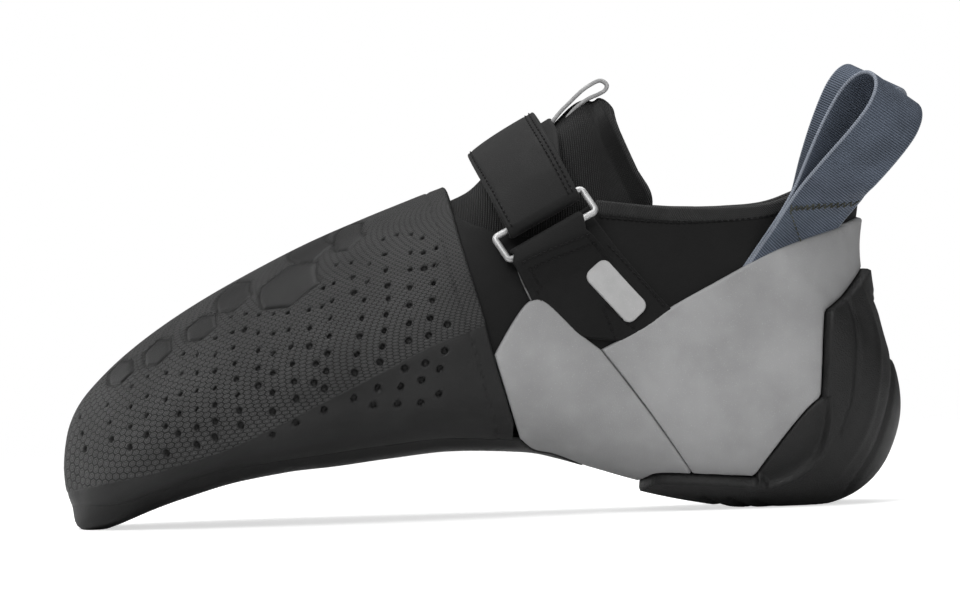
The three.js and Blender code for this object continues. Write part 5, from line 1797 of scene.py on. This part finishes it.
# %% Stitches of the pull loops
def seam_on_loop(face, chart):
    """A seam on the loop's outer leg. face holds its points by row and column."""
    points, along, across, outward = face
    chart = np.array(chart, float)
    rows = np.interp(chart[:, 0], along, np.arange(len(along)))
    line = []
    for row, place_across in zip(rows, chart[:, 1]):
        low = min(int(row), len(along) - 2)
        section = mix(points[low], points[low + 1], row - low)
        line.append([np.interp(place_across, across, section[:, axis]) for axis in range(3)])
    return np.array(line) + outward * 0.02, np.broadcast_to(outward, (len(line), 3))


TACK_FROM, TACK_TO = np.array((8.2, -8.8)), np.array((22, 8.8))
TACK_TURNS = 22
shares = np.linspace(0, 1, TACK_TURNS + 1)
zigzag = mix(TACK_FROM, TACK_TO, shares[:, None])
zigzag[:, 0] += 0.9 * (-1) ** np.arange(TACK_TURNS + 1)
tacks = [seam_on_loop(face, zigzag) for face in loop_faces]
sew("loop_tacks", tacks, olive_thread, "webbing", step=0.8, length=0.95)
rows = [seam_on_loop(face, [(7.4, -7.6), (4.8, -2.6), (2.3, 2.4)]) for face in loop_faces]
sew("loop_rows", rows, olive_thread, "webbing")

# %% [markdown]
# ## A thin edge
# The photograph shows the cut edge of the anchor as a fine pale line. It is a very narrow strip,
# laid on the last along a line that is charted in the side view.

# %% Thin edge
EDGE_WIDTH = 0.5
EDGE_LINE = [(0.5475, 0.785), (0.5545, 0.718), (0.566, 0.65)]


def edge_strip(name, stretch, height, material, slot):
    """A narrow strip on the outer side of the last."""
    found = find_places(curve(stretch), -1)
    centre = skin_point(*found.T, height)
    normal = skin_normal(*found.T)
    beside = unit(np.cross(normal, np.gradient(centre, axis=0)))
    across, through = strip_section(EDGE_WIDTH, EDGE_WIDTH, 3)
    rings = (centre[:, None] + beside[:, None] * across[:, None]
             + normal[:, None] * through[:, None])
    return place(sweep(name, rings, ring_uv(row_lengths(centre), across)), material, slot)


edge_strip("anchor_edge", EDGE_LINE, ANCHOR_TOP - 0.3, edge_cloth, "microfibre")

# %% [markdown]
# ## Floor, light and air
# The photograph shows the shoe on pure white. A pale floor under it fades into the same white with
# distance, so that no edge shows and a soft contact shadow stays.

# %% Floor
FLOOR_RADIUS = 3000
FLOOR_TONE = 0.9
FLOOR_GLOW = 0.62  # lifts the floor to the photograph's white, for the camera alone
FADE = (0.2, 0.7)  # from the middle of the shoe's heel, in metres
floor_mesh = bpy.data.meshes.new("floor")
floor_shape = bmesh.new()
bmesh.ops.create_circle(floor_shape, cap_ends=True, segments=96, radius=FLOOR_RADIUS * MM)
floor_shape.to_mesh(floor_mesh)
floor_shape.free()
floor = bpy.data.objects.new("floor", floor_mesh)
bpy.context.scene.collection.objects.link(floor)


def floor_material():
    material, tree, shader = new_material("White floor", Roughness=0.9)
    shader.inputs["Base Color"].default_value = grey(FLOOR_TONE)
    away = calculate_vector(tree, "LENGTH", object_place(tree))
    clear = add_node(tree, "ShaderNodeBsdfTransparent")
    rays = add_node(tree, "ShaderNodeLightPath").outputs["Is Camera Ray"]
    shader.inputs["Emission Color"].default_value = grey(1.0)
    tree.links.new(calculate(tree, "MULTIPLY", rays, FLOOR_GLOW), shader.inputs["Emission Strength"])
    blend = add_node(tree, "ShaderNodeMixShader", {"Fac": map_range(tree, away, *FADE)})
    tree.links.new(shader.outputs["BSDF"], blend.inputs[1])
    tree.links.new(clear.outputs["BSDF"], blend.inputs[2])
    tree.links.new(blend.outputs["Shader"], tree.nodes["Material Output"].inputs["Surface"])
    return material


floor.data.materials.append(floor_material())

# %% Lights
def area_light(name, position, target, size, power):
    data = bpy.data.lights.new(name, "AREA")
    data.shape = "RECTANGLE"
    data.size, data.size_y = size[0] * MM, size[1] * MM
    data.energy = power
    lamp = bpy.data.objects.new(name, data)
    position, target = Vector(position) * MM, Vector(target) * MM
    lamp.matrix_world = Matrix.Translation(position) @ (
        (position - target).to_track_quat("Z", "Y").to_matrix().to_4x4())
    bpy.context.scene.collection.objects.link(lamp)
    return lamp


MIDDLE = (-95, 0, 50)
ROOM_LIGHT = 0.16
area_light("key", (-500, -700, 900), MIDDLE, (700, 500), 7)
area_light("fill", (600, -1000, 350), MIDDLE, (700, 700), 2.4)
area_light("top", (-60, 150, 900), MIDDLE, (900, 500), 5)
area_light("rim", (-900, 500, 350), MIDDLE, (300, 600), 2)


def white_room():
    """White to the camera, and a dimmer grey as light, so that black cloth stays black."""
    world = bpy.data.worlds.new("white room")
    world.use_nodes = True
    tree = world.node_tree
    seen = add_node(tree, "ShaderNodeBackground", {"Color": grey(1.0), "Strength": 1.0})
    light = tree.nodes["Background"]
    light.inputs["Color"].default_value = grey(1.0)
    light.inputs["Strength"].default_value = ROOM_LIGHT
    rays = add_node(tree, "ShaderNodeLightPath")
    blend = add_node(tree, "ShaderNodeMixShader", {"Fac": rays.outputs["Is Camera Ray"]})
    tree.links.new(light.outputs["Background"], blend.inputs[1])
    tree.links.new(seen.outputs["Background"], blend.inputs[2])
    tree.links.new(blend.outputs["Shader"], tree.nodes["World Output"].inputs["Surface"])
    return world


bpy.context.scene.world = white_room()
bpy.context.scene.view_settings.view_transform = "Standard"
